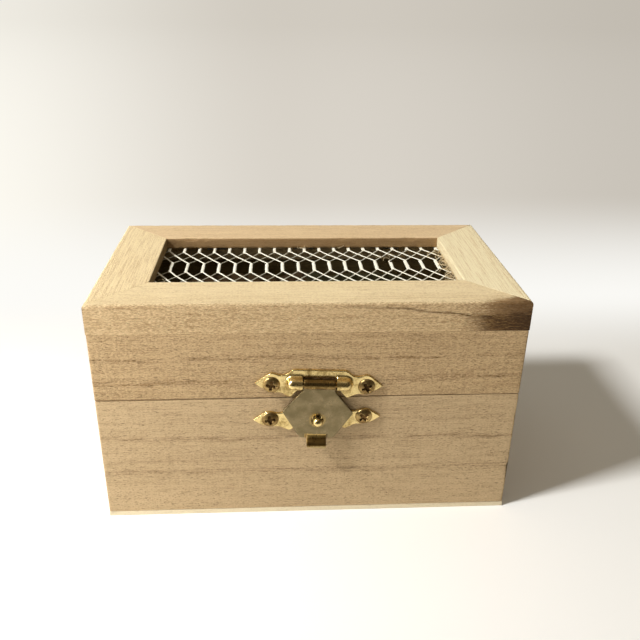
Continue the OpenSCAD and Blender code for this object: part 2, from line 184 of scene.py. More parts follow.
class Paint(Nodes):
    """A procedural material. Coordinates are object coordinates in millimetres."""

    def __init__(self, name, **sockets):
        self.material = bpy.data.materials.new(name)
        self.material.use_nodes = True
        super().__init__(self.material.node_tree)
        self.shader = self.tree.nodes["Principled BSDF"]
        for socket, value in sockets.items():
            self.shader.inputs[socket.replace("_", " ")].default_value = value
        self.normal = self.node("TexCoord", out="Normal")
        place = self.normal.socket.node.outputs["Object"]
        self.place = self.node("VectorMath", {0: place, "Scale": 1000.0}, operation="SCALE")

    def noise(self, sizes, detail=2.0, shift=0.0, rough=0.5):
        """Noise from 0 to 1 whose grains have these sizes, in mm, along X, Y and Z, or one size."""
        sizes = sizes if isinstance(sizes, tuple) else (sizes, sizes, sizes)
        scaled = {0: self.place, 1: tuple(1 / s for s in sizes), 2: (shift, shift * 1.7, shift * 2.3)}
        return self.noise_at(self.node("VectorMath", scaled, operation="MULTIPLY_ADD"), detail, rough)

    def noise_of(self, value, detail, rough=0.5, row=0.0):
        """Noise that changes with one value only. row picks another run of it."""
        return self.noise_at(self.node("CombineXYZ", {0: value, 1: row}), detail, rough)

    def noise_at(self, vector, detail, rough):
        return self.node("TexNoise", {"Vector": vector, "Scale": 1.0, "Detail": detail, "Roughness": rough})

    def link(self, output, socket):
        self.wire(output, self.shader.inputs[socket])

    def bump(self, height, depth, strength=1.0):
        """Relief: height 1 stands depth mm above height 0."""
        self.link(self.node("Bump", {"Height": height, "Distance": depth * MM, "Strength": strength}), "Normal")


def srgb(r, g, b):
    """A colour given as it is seen, 0 to 255, turned into the linear values that shaders take."""
    return tuple(c / 12.92 if c <= 0.04045 else ((c + 0.055) / 1.055) ** 2.4 for c in (r / 255, g / 255, b / 255))


# ---- Mesh helpers ----
def clamp(x):
    return max(0.0, min(1.0, x))


def peak(x, width):
    """1 at 0, falling evenly to 0 at width."""
    return max(0.0, 1 - x / width)


def polar(r, a):
    return r * cos(a), r * sin(a)


def spread(first, last, n):
    """n + 1 numbers from first to last."""
    return [first + (last - first) * k / n for k in range(n + 1)]


def angles(n):
    """n angles evenly round a circle."""
    return [tau * k / n for k in range(n)]


def swell(x, y, z):
    """Smooth noise from about -1 to 1."""
    return noise.noise(Vector((x, y, z)))


def lumpy(x, y, z, size, seed):
    """Smooth noise from about -1 to 1 with lumps of that size, in mm."""
    return swell(x / size + seed, y / size - seed, z / size + 2 * seed)


def at(x, y, z):
    return Matrix.Translation((x, y, z))


class Second(tuple):
    """A face that takes its piece's second material."""


def put(name, verts, faces):
    """An object from points in mm."""
    mesh = bpy.data.meshes.new(name)
    mesh.from_pydata([(x * MM, y * MM, z * MM) for x, y, z in verts], [], faces)
    return add(name, mesh)


def piece(name, shape, paint, body=None, node=None, blend=None, weighted=False):
    """A piece of the object from (points in mm, faces). It stands for the CAD node given or of its own name, and rides
    on body or on that node's. blend gives the heights where it leaves the box and comes onto the jack; with one, the
    piece rides on no body and keeps its place in its points, and the heights are not used."""
    node = node or (name if name in NODES else None)
    obj = put(name + "_made" if name in NODES else name, *shape)
    mesh = obj.data
    for material in paint if isinstance(paint, tuple) else (paint,):
        mesh.materials.append(material)
    if isinstance(paint, tuple):
        mesh.polygons.foreach_set("material_index", [int(isinstance(face, Second)) for face in shape[1]])
    bm = bmesh.new()
    bm.from_mesh(mesh)
    bmesh.ops.recalc_face_normals(bm, faces=bm.faces)
    bm.to_mesh(mesh)
    bm.free()
    mesh.polygons.foreach_set("use_smooth", [True] * len(mesh.polygons))
    mesh.set_sharp_from_angle(angle=radians(50))
    if weighted:
        obj.modifiers.new("weighted", "WEIGHTED_NORMAL").keep_sharp = True
    if blend:
        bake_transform(obj)
    else:
        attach(obj, body or NODE_BODY[node])
    if node:
        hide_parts(node)
    return obj


def rings(loops, closed=False):
    """Faces between loops of the same number of points. closed joins the last loop to the first, and otherwise both
    are filled."""
    count, total, faces = len(loops[0]), len(loops), []
    for i in range(total if closed else total - 1):
        n = (i + 1) % total
        for j in range(count):
            k = (j + 1) % count
            faces.append((i * count + j, i * count + k, n * count + k, n * count + j))
    if not closed:
        faces.append(tuple(range(count - 1, -1, -1)))
        faces.append(tuple((total - 1) * count + j for j in range(count)))
    return [p for loop in loops for p in loop], faces


# ---- Wood ----
FRONT_PALE, FRONT_DARK = srgb(203, 173, 130), srgb(128, 96, 54)
TOP_PALE, TOP_DARK = srgb(250, 228, 182), srgb(196, 158, 108)


def wood(name, grain, seed, pale=FRONT_PALE, dark=FRONT_DARK, bands=(), band_range=(0, 70), part="board",
         heartwood_and_face_shade=False, seam=False, tone=0.0, rough=0.2, pore_depth=0.4, lines=0.4, saw=0.0, grit=0.7, window_side_shade=1.0):
    """Paulownia, saw-cut with its grain along axis grain. bands gives dark bands as (height, half width, strength), and
    rough is the relief of its saw-cut face in mm. lines, saw and grit are the strengths of its long grain, of the marks
    across it and of its speckle. sawn says how much painted shade darkens the sides of the window, and stain adds the
    front strip's heartwood and paints that strip's face in the front boards' darker colours, a painted shade."""
    p = Paint(name, Roughness=0.68, Specular_IOR_Level=0.22)

    def sizes(along, across):
        return tuple(along if axis == grain else across for axis in range(3))

    def shade(value, weight, total):
        """total, raised where value is over 0.5 and lowered where it is under."""
        return (value - 0.5) * weight + total

    warp = p.noise(sizes(42, 13), 2, seed)
    axes = p.split(p.place)
    # growth rings: distance from a pith far off the board
    pith = [(-38.0, -150.0, 40.0), (33.0, 40.0, -120.0)][seed % 2]
    across = [a for a in range(3) if a != grain]
    radius = p.far(*(axes[a] - pith[a] for a in across)) + warp * 5.0
    ring = p.step(p.noise_of(radius * 0.42, 3.0, 0.65, seed * 3.1), 0.32, 0.72)
    fibre = p.noise(sizes(16, 0.42), 4, seed + 5, rough=0.65)
    fine = p.noise(sizes(5.0, 0.17), 2, seed + 9)
    cloud = p.noise(sizes(60, 16), 2, seed + 13)
    speck = p.noise(sizes(0.7, 0.19), 2, seed + 33)

    darkness = shade(fine, 0.85, shade(fibre, 0.5 + lines, ring * 0.14 + (tone + 0.1)))
    face = p.step((speck - 0.5) * 1.3 + axes[1], -HD + 0.95, -HD - 0.15)
    if heartwood_and_face_shade:  # the front strip's face is sawn, its top is smoother
        grit = face * 0.6 + grit
    darkness = shade(cloud, 0.4, darkness - (speck - 0.5) * grit)
    if saw:
        darkness = shade(p.noise(sizes(0.42, 7.0), 2, seed + 41), saw, darkness)
    crowd = ring * 0.03
    if bands:
        wobble = (warp - 0.5) * 3.4 + axes[2]
        stops = [(end, 0.0) for end in band_range]
        for place, half, strength in bands:
            stops += [(place - half, 0.0), (place, strength), (place + half, 0.0)]
        patchy = p.step(p.noise(sizes(7, 0.5), 3, seed + 17, rough=0.6), 0.36, 0.64, 0.0, 0.85)
        band = p.ramp(wobble, *band_range, stops) * patchy
        darkness, crowd = darkness + band, band * 0.16 + crowd
    darkness = p.math("ADD", darkness, 0.0, clamp=True)
    colour = p.mix(darkness, pale, dark)
    # painted shade: the front strip's face takes the front boards' darker colours, as it gets less light than the
    # strip's top
    if heartwood_and_face_shade:
        colour = p.mix(face, colour, p.mix(darkness, FRONT_PALE, FRONT_DARK))

    # pores: short dark dashes, crowded where the rings and bands are dark
    pores = p.step(p.noise(sizes(1.3, 0.12), 1, seed + 21) + crowd, 0.675, 0.75)
    # fuzz: raised pale fibres
    fuzz = p.step(p.noise(sizes(0.6, 0.2), 1, seed + 25), 0.64, 0.74)
    colour = p.mix(pores * pore_depth, colour, (0.42 * dark[0], 0.36 * dark[1], 0.26 * dark[2]))
    colour = p.mix(fuzz * 0.5, colour, tuple(min(1, 1.15 * c) for c in pale))

    if heartwood_and_face_shade:
        colour = heartwood(p, axes, sizes, colour, speck, face)
    if seam:  # the sawn edges along the seam are brown
        edge = p.step(abs(axes[2] - SEAM), 0.2, 0.06)
        colour = p.mix(edge * 0.7, colour, srgb(92, 62, 26))

    # end grain: darker, dotted
    end = p.step(abs(p.split(p.normal)[grain]), 0.62, 0.85)
    dots = p.step(p.noise(0.35, 2, seed + 29), 0.35, 0.65, 0.62, 0.92)
    grey = p.node("CombineColor", {0: dots, 1: dots, 2: dots})
    colour = p.mix(end, colour, p.mix(1.0, colour, grey, "MULTIPLY"))

    if part != "jack":  # inside, the box is painted a darker brown: painted shade of its interior
        x, y, z = axes
        inside = p.step(p.math("MAXIMUM", abs(x) - (HW - WALL), abs(y) - (HD - WALL)), 0.4, 0.15)
        if part == "strip":  # painted shade: the sides of the window are darkened, and the rebate below them is darkened like the inside
            inside = inside * p.step(z, MESH_Z + 0.25, MESH_Z - 0.1, 0.0, 0.7)
            cut = p.step(x, WIN_L - 0.32, WIN_L - 0.05) * p.step(x, WIN_R + 0.32, WIN_R + 0.05)
            cut = cut * p.step(y, WIN_F - 0.32, WIN_F - 0.05) * p.step(y, WIN_B + 0.9, WIN_B + 0.5)
            cut = cut * p.step(z, BOX_H - 0.04, BOX_H - 0.3, 0.0, window_side_shade)
            colour = p.mix(cut, colour, p.mix(1.0, colour, (0.45, 0.38, 0.29), "MULTIPLY"))
        elif part == "bottom":
            inside = inside * p.step(z, PLY - 0.4, PLY - 0.1)
        colour = p.mix(inside, colour, p.mix(p.step(fine, 0.35, 0.65), srgb(140, 122, 80), srgb(162, 142, 98)))
    p.link(colour, "Base Color")
    p.bump(fuzz * 0.6 - pores * 0.6 + speck * 0.9 + fibre * 0.3 + fine * 0.5, rough)
    return p.material


def heartwood(p, axes, sizes, colour, speck, face):
    """The dark heartwood at the right end of the front strip: a thin line that sinks and widens towards the end."""
    x, y, z = axes

    def along(stops):
        return p.ramp(x, 0, 60, stops)

    bend = p.noise(sizes(22, 2.2), 3, 3.3, rough=0.6) - 0.5
    grainy = p.noise(sizes(5, 0.35), 3, 8.8, rough=0.65) - 0.5
    line = along([(0, 0.95), (22, 0.86), (35, 0.71), (42, 0.6), (50, 0.6), (60, 0.66)]) * 9.0 + 58.0
    below = bend * 1.2 + (line - z)
    ragged = grainy * p.step(x, 36, 46, 0.8, 5.0) + below
    # brown surroundings, over the face and onto the top as far as the mitre
    reach = along([(30, 0.0), (38, 0.02), (44, 0.18), (50, 0.5), (60, 1.2)]) * 6.6
    over = y + (HD + 0.9) - reach + (speck - 0.5) * 3.0 + grainy * 4.0
    halo = p.step(over, 1.2, -1.8) * along([(31, 0.0), (38, 0.4), (44, 0.75), (54, 0.9)])
    # painted shade: the heartwood's brown is darker on the face than on the top
    near = p.mix(p.step(x, 43, 56), srgb(140, 106, 64), srgb(96, 66, 32))
    brown = p.mix(face, p.mix(p.step(x, 49, 57), srgb(170, 130, 82), srgb(120, 86, 46)), near)
    streak = p.step(p.noise(sizes(4.0, 0.26), 3, 12.0, rough=0.6), 0.36, 0.62)
    brown = p.mix(p.step(grainy, 0.0, 0.16, 0.0, 0.75), brown, srgb(86, 56, 24))
    brown = p.mix(streak * 0.5, brown, srgb(80, 52, 22))
    colour = p.mix(halo, colour, brown)
    # the dark core below the line
    core = p.step(ragged, -0.9, 0.8) * p.step(x - below * 0.8 + grainy * 12.0, 37.0, 47.0, 0.0, 0.92)
    thin = p.step(abs(ragged - 0.15), 0.4, 0.1) * along([(5, 0.0), (14, 0.35), (26, 0.6), (40, 0.85), (50, 0.9)])
    core = p.math("MAXIMUM", core, thin) * p.step(y, -HD + 2.6, -HD + 0.7)
    dark = p.mix(p.step(speck, 0.3, 0.7), srgb(78, 50, 18), srgb(146, 112, 66))
    dark = p.mix(streak * 0.8, dark, srgb(52, 30, 6))
    dark = p.mix(p.step(grainy * 14.0 + x, 47, 59, 0.0, 0.75), dark, srgb(52, 30, 6))
    return p.mix(core, colour, dark)


STRIP = dict(part="strip")
WOODS = {name: wood("wood_" + name, *where, **how) for name, where, how in (
    ("lid_front", (0, 1),
     dict(bands=[(51.3, 1.3, 0.5), (47.5, 0.9, 0.2), (44.3, 1.9, 0.5), (55.2, 1.0, 0.2), (41.2, 0.9, 0.2)],
          band_range=(38, 60), seam=True, saw=0.45, rough=0.28, grit=1.9, lines=0.35)),
    ("base_front", (0, 2, srgb(201, 174, 134), srgb(130, 102, 66)),
     dict(bands=[(26.2, 1.5, 0.55), (31.5, 0.9, 0.2), (18.8, 0.8, 0.2), (15.0, 1.6, 0.5), (34.3, 0.9, 0.2)],
          band_range=(0, 40), seam=True, tone=-0.04, rough=0.18, saw=0.35, grit=1.2)),
    ("lid_back", (0, 3), dict(bands=[(52, 1.4, 0.5), (45, 1.2, 0.4)], band_range=(38, 60))),
    ("base_back", (0, 4), dict(bands=[(30, 1.8, 0.4), (17, 1.4, 0.35)], band_range=(0, 40))),
    ("side", (1, 5), dict(bands=[(51, 1.4, 0.4), (28, 1.6, 0.4), (14, 1.2, 0.3)])),
    ("side_right", (1, 6), dict(bands=[(47, 1.4, 0.4), (33, 1.3, 0.3), (20, 1.8, 0.4)])),
    ("strip_front", (0, 7, TOP_PALE, TOP_DARK),
     dict(STRIP, heartwood_and_face_shade=True, rough=0.16, pore_depth=0.35, grit=1.4, saw=0.3)),
    ("strip_back", (0, 8, srgb(242, 214, 170), srgb(188, 150, 104)),
     dict(STRIP, tone=0.02, rough=0.12, pore_depth=0.3, grit=1.0)),
    ("strip_left", (1, 9, TOP_PALE, TOP_DARK),
     dict(STRIP, tone=0.04, rough=0.16, pore_depth=0.3, lines=1.8, grit=1.2)),
    # the window's right side faces the key lamp, so it takes little of the painted shade
    ("strip_right", (1, 10, srgb(255, 240, 198), srgb(210, 174, 124)),
     dict(STRIP, tone=-0.08, rough=0.12, pore_depth=0.2, window_side_shade=0.1, grit=0.9, lines=1.7)),
    ("ply", (0, 11, srgb(236, 222, 190), srgb(206, 184, 148)), dict(part="bottom", tone=-0.1, rough=0.1)),
    ("board", (0, 14, srgb(244, 218, 172), srgb(200, 162, 112)), dict(part="jack", rough=0.1)),
    ("dowel", (2, 13, srgb(238, 212, 168), srgb(205, 170, 122)), dict(part="jack", rough=0.1)),
)}


def section(u0, u1, v0, v1, radii, sides=(6, 6)):
    """Points round a rectangle, anticlockwise, each corner rounded by its own radius."""
    corners = [(u0, v0, 180, 1, 1), (u1, v0, 270, -1, 1), (u1, v1, 0, -1, -1), (u0, v1, 90, 1, -1)]
    arcs = [[(u + su * r + r * cos(radians(a)), v + sv * r + r * sin(radians(a))) for a in spread(start, start + 90, 4)]
            for (u, v, start, su, sv), r in zip(corners, radii)]
    points = []
    for i, arc in enumerate(arcs):
        (a, b), (c, d), n = arc[-1], arcs[(i + 1) % 4][0], sides[i % 2]
        points += arc + list(zip(spread(a, c, n)[1:-1], spread(b, d, n)[1:-1]))
    return points


def plank(name, node, axis, low, high, radii, end_r, paint, shape=None, pitch=1.6, sides=(6, 6)):
    """A board whose grain runs along axis. radii round its four long edges and end_r its ends. shape moves a point,
    pitch is the length of its faces, and sides are the numbers of faces across it."""
    u, v = [a for a in range(3) if a != axis]
    base = section(low[u], high[u], low[v], high[v], radii, sides=sides)
    span = high[axis] - low[axis]
    count = max(2, round((span - 2 * end_r) / pitch))
    ends = [(end_r * (1 - cos(a)), end_r * (1 - sin(a))) for a in (0, pi / 6, pi / 3)]
    inner = [(s, 0) for s in spread(end_r, span - end_r, count)]
    stations = ends + inner + [(span - s, inset) for s, inset in reversed(ends)]
    loops = []
    for s, inset in stations:
        loop = []
        for a, b in base:
            point = [0, 0, 0]
            point[axis] = low[axis] + s
            point[u] = min(max(a, low[u] + inset), high[u] - inset)
            point[v] = min(max(b, low[v] + inset), high[v] - inset)
            loop.append(shape(*point) if shape else point)
        loops.append(loop)
    piece(name, rings(loops), paint, node=node, weighted=True)


def wavy(seed, amount=0.05):
    """A shape that bends a board's faces a little, as sanding leaves them."""
    def move(x, y, z):
        dx, dy, dz = (amount * lumpy(x, y, z, 14.0, seed + shift) for shift in (0, 3.3, 6.6))
        return x + dx, y + dy, z + 0.6 * dz
    return move


LID_Z, BASE_TOP = SEAM + GAP / 2, SEAM - GAP / 2
BUTT = 0.12  # edges that meet another board are hardly eased


def seam_drop(x, y):
    """The lid was sawn off at a slight slope: the seam runs lower at the front's left end."""
    return -0.28 * clamp((8 - x) / 50) * clamp(-y / 30)


def front_lid_shape(x, y, z):
    x, y, z = wavy(1.1)(x, y, z)
    if z < LID_Z + 1:  # the seam nearly closes in places, and its edge is a little ragged
        z += 0.05 * lumpy(x, y, 0, 2.2, 4.4) - 0.13 - 0.06 * lumpy(x, 0, 0, 17.0, 6.2) + seam_drop(x, y)
    return x, y, z


def front_base_shape(x, y, z):
    x, y, z = wavy(2.3)(x, y, z)
    if z > BASE_TOP - 1:
        z += 0.04 * lumpy(x, y, 0, 3.1, 7.7) + 0.06 + seam_drop(x, y)
    if x > HW - 1.2:  # chips down the right-hand edge
        chip = 15.5  # the height of the largest
        x += 0.45 * min(0.0, lumpy(0, y, z, 3.0, 9.1)) + 0.16 * min(0.0, lumpy(0, y, z, 0.9, 5.1))
        x -= 0.5 * peak(chip - z, 6) if z < chip else 0.25 * peak(z - chip, 0.8)
    return x, y, z


def side_shape(seed):
    def move(x, y, z):
        x, y, z = wavy(seed)(x, y, z)
        return x, y, z + (seam_drop(x, y) if abs(z - SEAM) < 1 else 0)
    return move


for name, radii, shape, rows in (
        ("base_front", (0.25, BUTT, BUTT, 0.35), front_base_shape, 26),
        ("base_back", (BUTT, 0.25, 0.35, BUTT), wavy(3.1), 18),
        ("lid_front", (0.3, 0.2, BUTT, 0.14), front_lid_shape, 14),
        ("lid_back", (0.2, 0.3, 0.14, BUTT), wavy(4.1), 10),
        ("base_left", (0.2, BUTT, BUTT, 0.3), side_shape(4.1), 18),
        ("lid_left", (0.3, 0.2, BUTT, 0.14), side_shape(4.1), 10),
        ("base_right", (BUTT, 0.2, 0.3, BUTT), side_shape(6.1), 18),
        ("lid_right", (0.2, 0.3, 0.14, BUTT), side_shape(6.1), 10)):
    part, side = name.split("_")
    x0, x1 = {"left": (-HW, -HW + WALL), "right": (HW - WALL, HW)}.get(side, (-HW, HW))
    y0, y1 = {"front": (-HD, -HD + WALL), "back": (HD - WALL, HD)}.get(side, (-HD + WALL, HD - WALL))
    z0, z1 = (PLY, BASE_TOP) if part == "base" else (LID_Z, FRAME_Z)
    axis, end_r = (1, BUTT) if side in ("left", "right") else (0, 0.55)
    plank(name + "_board", name + "_wall", axis, (x0, y0, z0), (x1, y1, z1), radii, end_r,
          WOODS[{"left": "side", "right": "side_right"}.get(side, name)], shape,
          pitch=1.0 if side == "front" else 1.6, sides=(4, rows))
plank("bottom_board", "bottom_panel", 0, (-HW, -HD, 0), (HW, HD, PLY), (0.2, 0.2, 0.1, 0.1), 0.15, WOODS["ply"],
      pitch=4, sides=(24, 2))


# ---- Mitred frame ----
def strip(side, start, along, inward, length, width, near, far, seed, chips=None, ease=0.22):
    """A strip of the lid's frame. start is its outer corner, near and far the widths of its neighbours. chips(s) is how
    deep its window edge is bitten at s, and ease rounds that edge."""
    r = EDGE_R
    profile = [(0.05, FRAME_Z)] + [(0, z) for z in spread(FRAME_Z + 0.14, MESH_Z + 1.84, 5)[:-1]]
    profile += [(r - r * cos(a), BOX_H - r + r * sin(a)) for a in spread(0, pi / 2, 6)]
    profile += [(inset, BOX_H) for inset in spread(r, width - ease, 9)[1:]]
    profile += [(width - ease + ease * sin(a), BOX_H - ease + ease * cos(a)) for a in (pi / 6, pi / 3)]
    profile += [(width, z) for z in spread(BOX_H - ease, MESH_Z + 0.1, 4)]
    profile += [(width - 0.1, MESH_Z), (width - REBATE, MESH_Z), (width - REBATE, FRAME_Z)]
    ends, inner = [(0, 1), (0.12, 0), (0.5, 0)], spread(1, length - 1, round(length / 0.8) - 1)
    loops = []
    for place, dip in ends + [(s, 0) for s in inner] + [(length - s, dip) for s, dip in reversed(ends)]:
        part = place / length
        loop = []
        for inset, z in profile:
            s0, s1 = inset * near / width, length - inset * far / width
            s = s0 + (s1 - s0) * part
            depth = inset
            if z > BOX_H - r - 0.1:
                wear = 0.10 * lumpy(s, z, inset, 5.0, seed) + 0.09 * lumpy(s, z, inset, 1.3, seed + 2)
                if inset < r + 0.1:
                    depth += abs(wear) * 0.9 * (1 - z + BOX_H - r if z < BOX_H - r else 1)
                    z -= abs(wear) * 0.7
                elif chips and inset > width - ease - 0.05:
                    bite = chips(s)
                    z -= bite * (1.6 if inset > width - 0.1 else 0.5)
                    depth -= bite * 0.3
                else:
                    z += 0.03 * lumpy(s, inset, 0, 9.0, seed + 5)
                z -= 0.08 * dip
            if width - 0.05 < inset and MESH_Z < z < BOX_H - 0.4:
                depth += 0.06 * lumpy(s, z * 2, 0, 3.0, seed + 7)
            loop.append((start[0] + along[0] * s + inward[0] * depth, start[1] + along[1] * s + inward[1] * depth, z))
        loops.append(loop)
    piece(f"frame_{side}_strip", rings(loops), WOODS["strip_" + side], node="lid_frame_" + side,
          weighted=True)


def back_chips(s):
    """Bites out of the back strip's window edge, s mm from its right-hand end."""
    x = HW - s
    bite = 0.12 * max(0.0, lumpy(s, 0, 0, 2.6, 1.9)) + 0.06 * abs(lumpy(s, 0, 0, 0.9, 8.2))
    for middle, half, deep in ((-36, 2.2, 0.5), (-31.5, 1.2, 0.3), (34, 2.4, 0.45), (12, 1.5, 0.2)):
        bite += deep * peak((x - middle) ** 2, half ** 2)
    return bite


strip("front", (-HW, -HD), (1, 0), (0, 1), BOX_W, STRIP_F, STRIP_L, STRIP_R, 1.5)
strip("back", (HW, HD), (-1, 0), (0, -1), BOX_W, STRIP_B, STRIP_R, STRIP_L, 2.5, back_chips, ease=0.6)
strip("left", (-HW, HD), (0, -1), (1, 0), BOX_D, STRIP_L, STRIP_B, STRIP_F, 3.5)
strip("right", (HW, -HD), (0, 1), (-1, 0), BOX_D, STRIP_R, STRIP_F, STRIP_B, 4.5)


# ---- Swept, turned and stamped shapes, as (points, faces) ----
def join(*shapes):
    """Several shapes as one."""
    verts, faces = [], []
    for more_verts, more_faces in shapes:
        start = len(verts)
        verts += list(more_verts)
        faces += [type(face)(i + start for i in face) for face in more_faces]
    return verts, faces


def placed(shape, matrix):
    """A shape moved by a matrix in mm."""
    return [tuple(matrix @ Vector(p)) for p in shape[0]], shape[1]


def turned(profile, segments=48, wrinkle=None):
    """A profile of (radius, height), bottom to top, turned about Z. Its ends are closed. wrinkle moves a point."""
    loops = [[(*polar(max(r, 0.01), a), z) for a in angles(segments)] for r, z in profile]
    return rings([[wrinkle(*point) for point in loop] for loop in loops] if wrinkle else loops)


def through(points, n):
    """A smooth path through points, with n steps between two of them."""
    path, count = [], len(points)
    for i in range(count - 1):
        near = points[max(i - 1, 0)], points[i], points[i + 1], points[min(i + 2, count - 1)]
        for t in (k / n for k in range(n)):
            path.append(tuple(0.5 * (2 * b + (c - a) * t + (2 * a - 5 * b + 4 * c - d) * t * t
                                     + (3 * b - a - 3 * c + d) * t ** 3) for a, b, c, d in zip(*near)))
    return path + [points[-1]]


def tube(path, radius, sides=8, flat=1.0, up=(0, 0, 1), ring=False):
    """A tube along a path. radius is a number or one for each point, and flat its thickness along up over its width."""
    points = [Vector(p) for p in path]
    count = len(points)
    loops = []
    for i, p in enumerate(points):
        ahead = points[(i + 1) % count] if ring or i + 1 < count else p
        behind = points[i - 1] if ring or i else p
        along = (ahead - behind).normalized()
        side = along.cross(Vector(up)).normalized()
        over = side.cross(along).normalized()
        r = radius[i] if hasattr(radius, "__len__") else radius
        loops.append([tuple(p + side * r * cos(b) + over * r * flat * sin(b)) for b in angles(sides)])
    return rings(loops, closed=ring)


def soften(points, r):
    """A closed outline with its corners rounded. r is one radius or one for each corner."""
    out = []
    for i, (x, y) in enumerate(points):
        p, a, b = Vector((x, y)), Vector(points[i - 1]), Vector(points[(i + 1) % len(points)])
        reach = r[i] if hasattr(r, "__len__") else r
        first = p + (a - p).normalized() * min(reach, (a - p).length * 0.48)
        last = p + (b - p).normalized() * min(reach, (b - p).length * 0.48)
        for t in spread(0, 1, 4):
            out.append(tuple(first * (1 - t) ** 2 + p * 2 * t * (1 - t) + last * t * t))
    return out


def densify(points, step):
    out = []
    for i, a in enumerate(points):
        b = points[(i + 1) % len(points)]
        n = max(1, ceil(dist(a, b) / step))
        out += [(a[0] + (b[0] - a[0]) * k / n, a[1] + (b[1] - a[1]) * k / n) for k in range(n)]
    return out


def disc_outline(r, count, y=0.0):
    return [(u, y + v) for u, v in (polar(r, a) for a in angles(count))]


def stamped(outline, top, bottom=0.0, holes=(), pitch=0.35, rim=0.18, step=0.3, second=None):
    """Sheet metal cut to an outline of (u, v), with holes. top gives the height of its face at (u, v), its upper edges
    are rounded by rim, and second says where its face takes the second material."""
    loops = [densify(loop, step) for loop in (outline, *holes)]
    starts, edges, ends_b = [], [], []
    for loop in loops:
        first = len(starts)
        starts += loop
        edges += [(first + i, first + (i + 1) % len(loop)) for i in range(len(loop))]
        ends_b += loop[1:] + loop[:1]
    ends_a, ends_b = np.array(starts), np.array(ends_b)
    run = ends_b - ends_a
    length2 = (run ** 2).sum(1)

    def clear(points):
        """Distance from each point to the outline."""
        t = np.clip(((points[:, None] - ends_a) * run).sum(2) / length2, 0, 1)
        return np.sqrt(((points[:, None] - ends_a - t[..., None] * run) ** 2).sum(2)).min(1)

    def inside(points):
        x, y = points[:, None, 0], points[:, None, 1]
        crosses = (ends_a[:, 1] > y) != (ends_b[:, 1] > y)
        with np.errstate(divide="ignore", invalid="ignore"):
            where = ends_a[:, 0] + (y - ends_a[:, 1]) * run[:, 0] / run[:, 1]
        return (crosses & (x < where)).sum(1) % 2 == 1

    middle, normal = (ends_a + ends_b) / 2, np.stack([run[:, 1], -run[:, 0]], 1) / np.sqrt(length2)[:, None]
    extra = []
    for share in (0.12, 0.35, 0.65, 1.0):
        for sign in (-1, 1):
            candidates = middle + normal * sign * rim * share
            candidates = candidates[inside(candidates)]
            extra.append(candidates[clear(candidates) > 0.93 * rim * share])
    low, high = ends_a.min(0), ends_a.max(0)
    rows = np.arange(low[1], high[1], pitch * 0.87)
    columns = np.arange(low[0], high[0], pitch)
    grid = np.array([(x + (i % 2) * pitch / 2, y) for i, y in enumerate(rows) for x in columns])
    grid = grid[inside(grid)]
    extra.append(grid[clear(grid) > max(rim * 1.25, pitch * 0.45)])
    points = [Vector(p) for p in starts] + [Vector(p) for part in extra for p in part]
    flat, _, triangles, *_ = geometry.delaunay_2d_cdt(points, edges, [], 1, 1e-7)
    flat_points = np.array([tuple(p) for p in flat])
    in_metal = inside(np.array([flat_points[list(t)].mean(0) for t in triangles]))
    triangles = [t for t, kept in zip(triangles, in_metal) if kept]
    away = clear(flat_points)
    upper = []
    for (u, v), d in zip(flat_points, away):
        drop = rim - sqrt(max(0.0, rim * rim - (rim - d) ** 2)) if d < rim else 0.0
        upper.append((float(u), float(v), top(u, v) - drop))
    lower = [(u, v, bottom) for u, v, _ in upper]
    count = len(upper)
    faces = []
    for t in triangles:
        u, v = (sum(flat_points[i][axis] for i in t) / 3 for axis in (0, 1))
        faces.append(Second(t) if second and second(u, v) else tuple(t))
    faces += [tuple(i + count for i in reversed(t)) for t in triangles]
    used = dict.fromkeys(edge for t in triangles for edge in zip(t, t[1:] + t[:1]))
    faces += [(b, a, a + count, b + count) for a, b in used if (b, a) not in used]
    return upper + lower, faces


def onto_box(place, lean, back=False):
    """Puts a flat drawing (u right, v up, z out) onto the box's front, leaning by lean degrees, or onto its back."""
    upright = Matrix.Rotation(radians(90), 4, "X")
    turn = Matrix.Rotation(radians(180 if back else lean), 4, "Z" if back else "Y")
    return at(*place) @ turn @ upright


# ---- Mesh in the window ----
# columns and rows of bars, their length, the middle row's place, and how far a strand shifts between rows
PITCH, ROW, BAR, ROW_Y = 4.75, 16.7, 7.0, 2.6
REACH = 1.5 * PITCH
MARGIN = 3.0  # of the sheet, under the frame
# (x, how far the rows stray there)
SAG = [(-46, 1.4), (-37, -0.5), (-17, -1.05), (-2, 0.05), (13, 0.65), (28, 1.3), (46, 1.5)]


def sag(x):
    """How far the stretched mesh's rows stray along Y at x."""
    x = max(-46.0, min(46.0, x))
    for (a, low), (b, high) in zip(SAG, SAG[1:]):
        if x <= b:
            t = (x - a) / (b - a)
            return low + (high - low) * t * t * (3 - 2 * t)


def strand_paint(name, pale, dim, bars=None):
    """Twisted fibre."""
    p = Paint(name, Roughness=0.75, Specular_IOR_Level=0.25)
    twist = p.noise(0.5, 3, 2.0, rough=0.7)
    colour = p.mix(p.step(twist, 0.3, 0.7), dim, pale)
    if bars:  # painted shade: the grey fades towards the right, and gives way to the pale bars colour where two strands twist together into a bar
        axes = p.split(p.place)
        colour = p.mix(p.step(axes[0], -22.0, 26.0, 0.0, 0.6), colour, bars)
        stray = p.ramp(axes[0], -46, 46, [(x, (y + 2) / 4) for x, y in SAG]) * 4.0 - 2.0
        row = p.math("PINGPONG", axes[1] - (stray + ROW_Y), ROW)
        row = p.math("MINIMUM", row, ROW - row)
        colour = p.mix(p.step(row, BAR / 2 + 0.5, BAR / 2 - 0.4), colour, bars)
    p.link(colour, "Base Color")
    p.bump(p.noise(0.16, 2, 5.0), 0.05, 0.8)
    return p.material


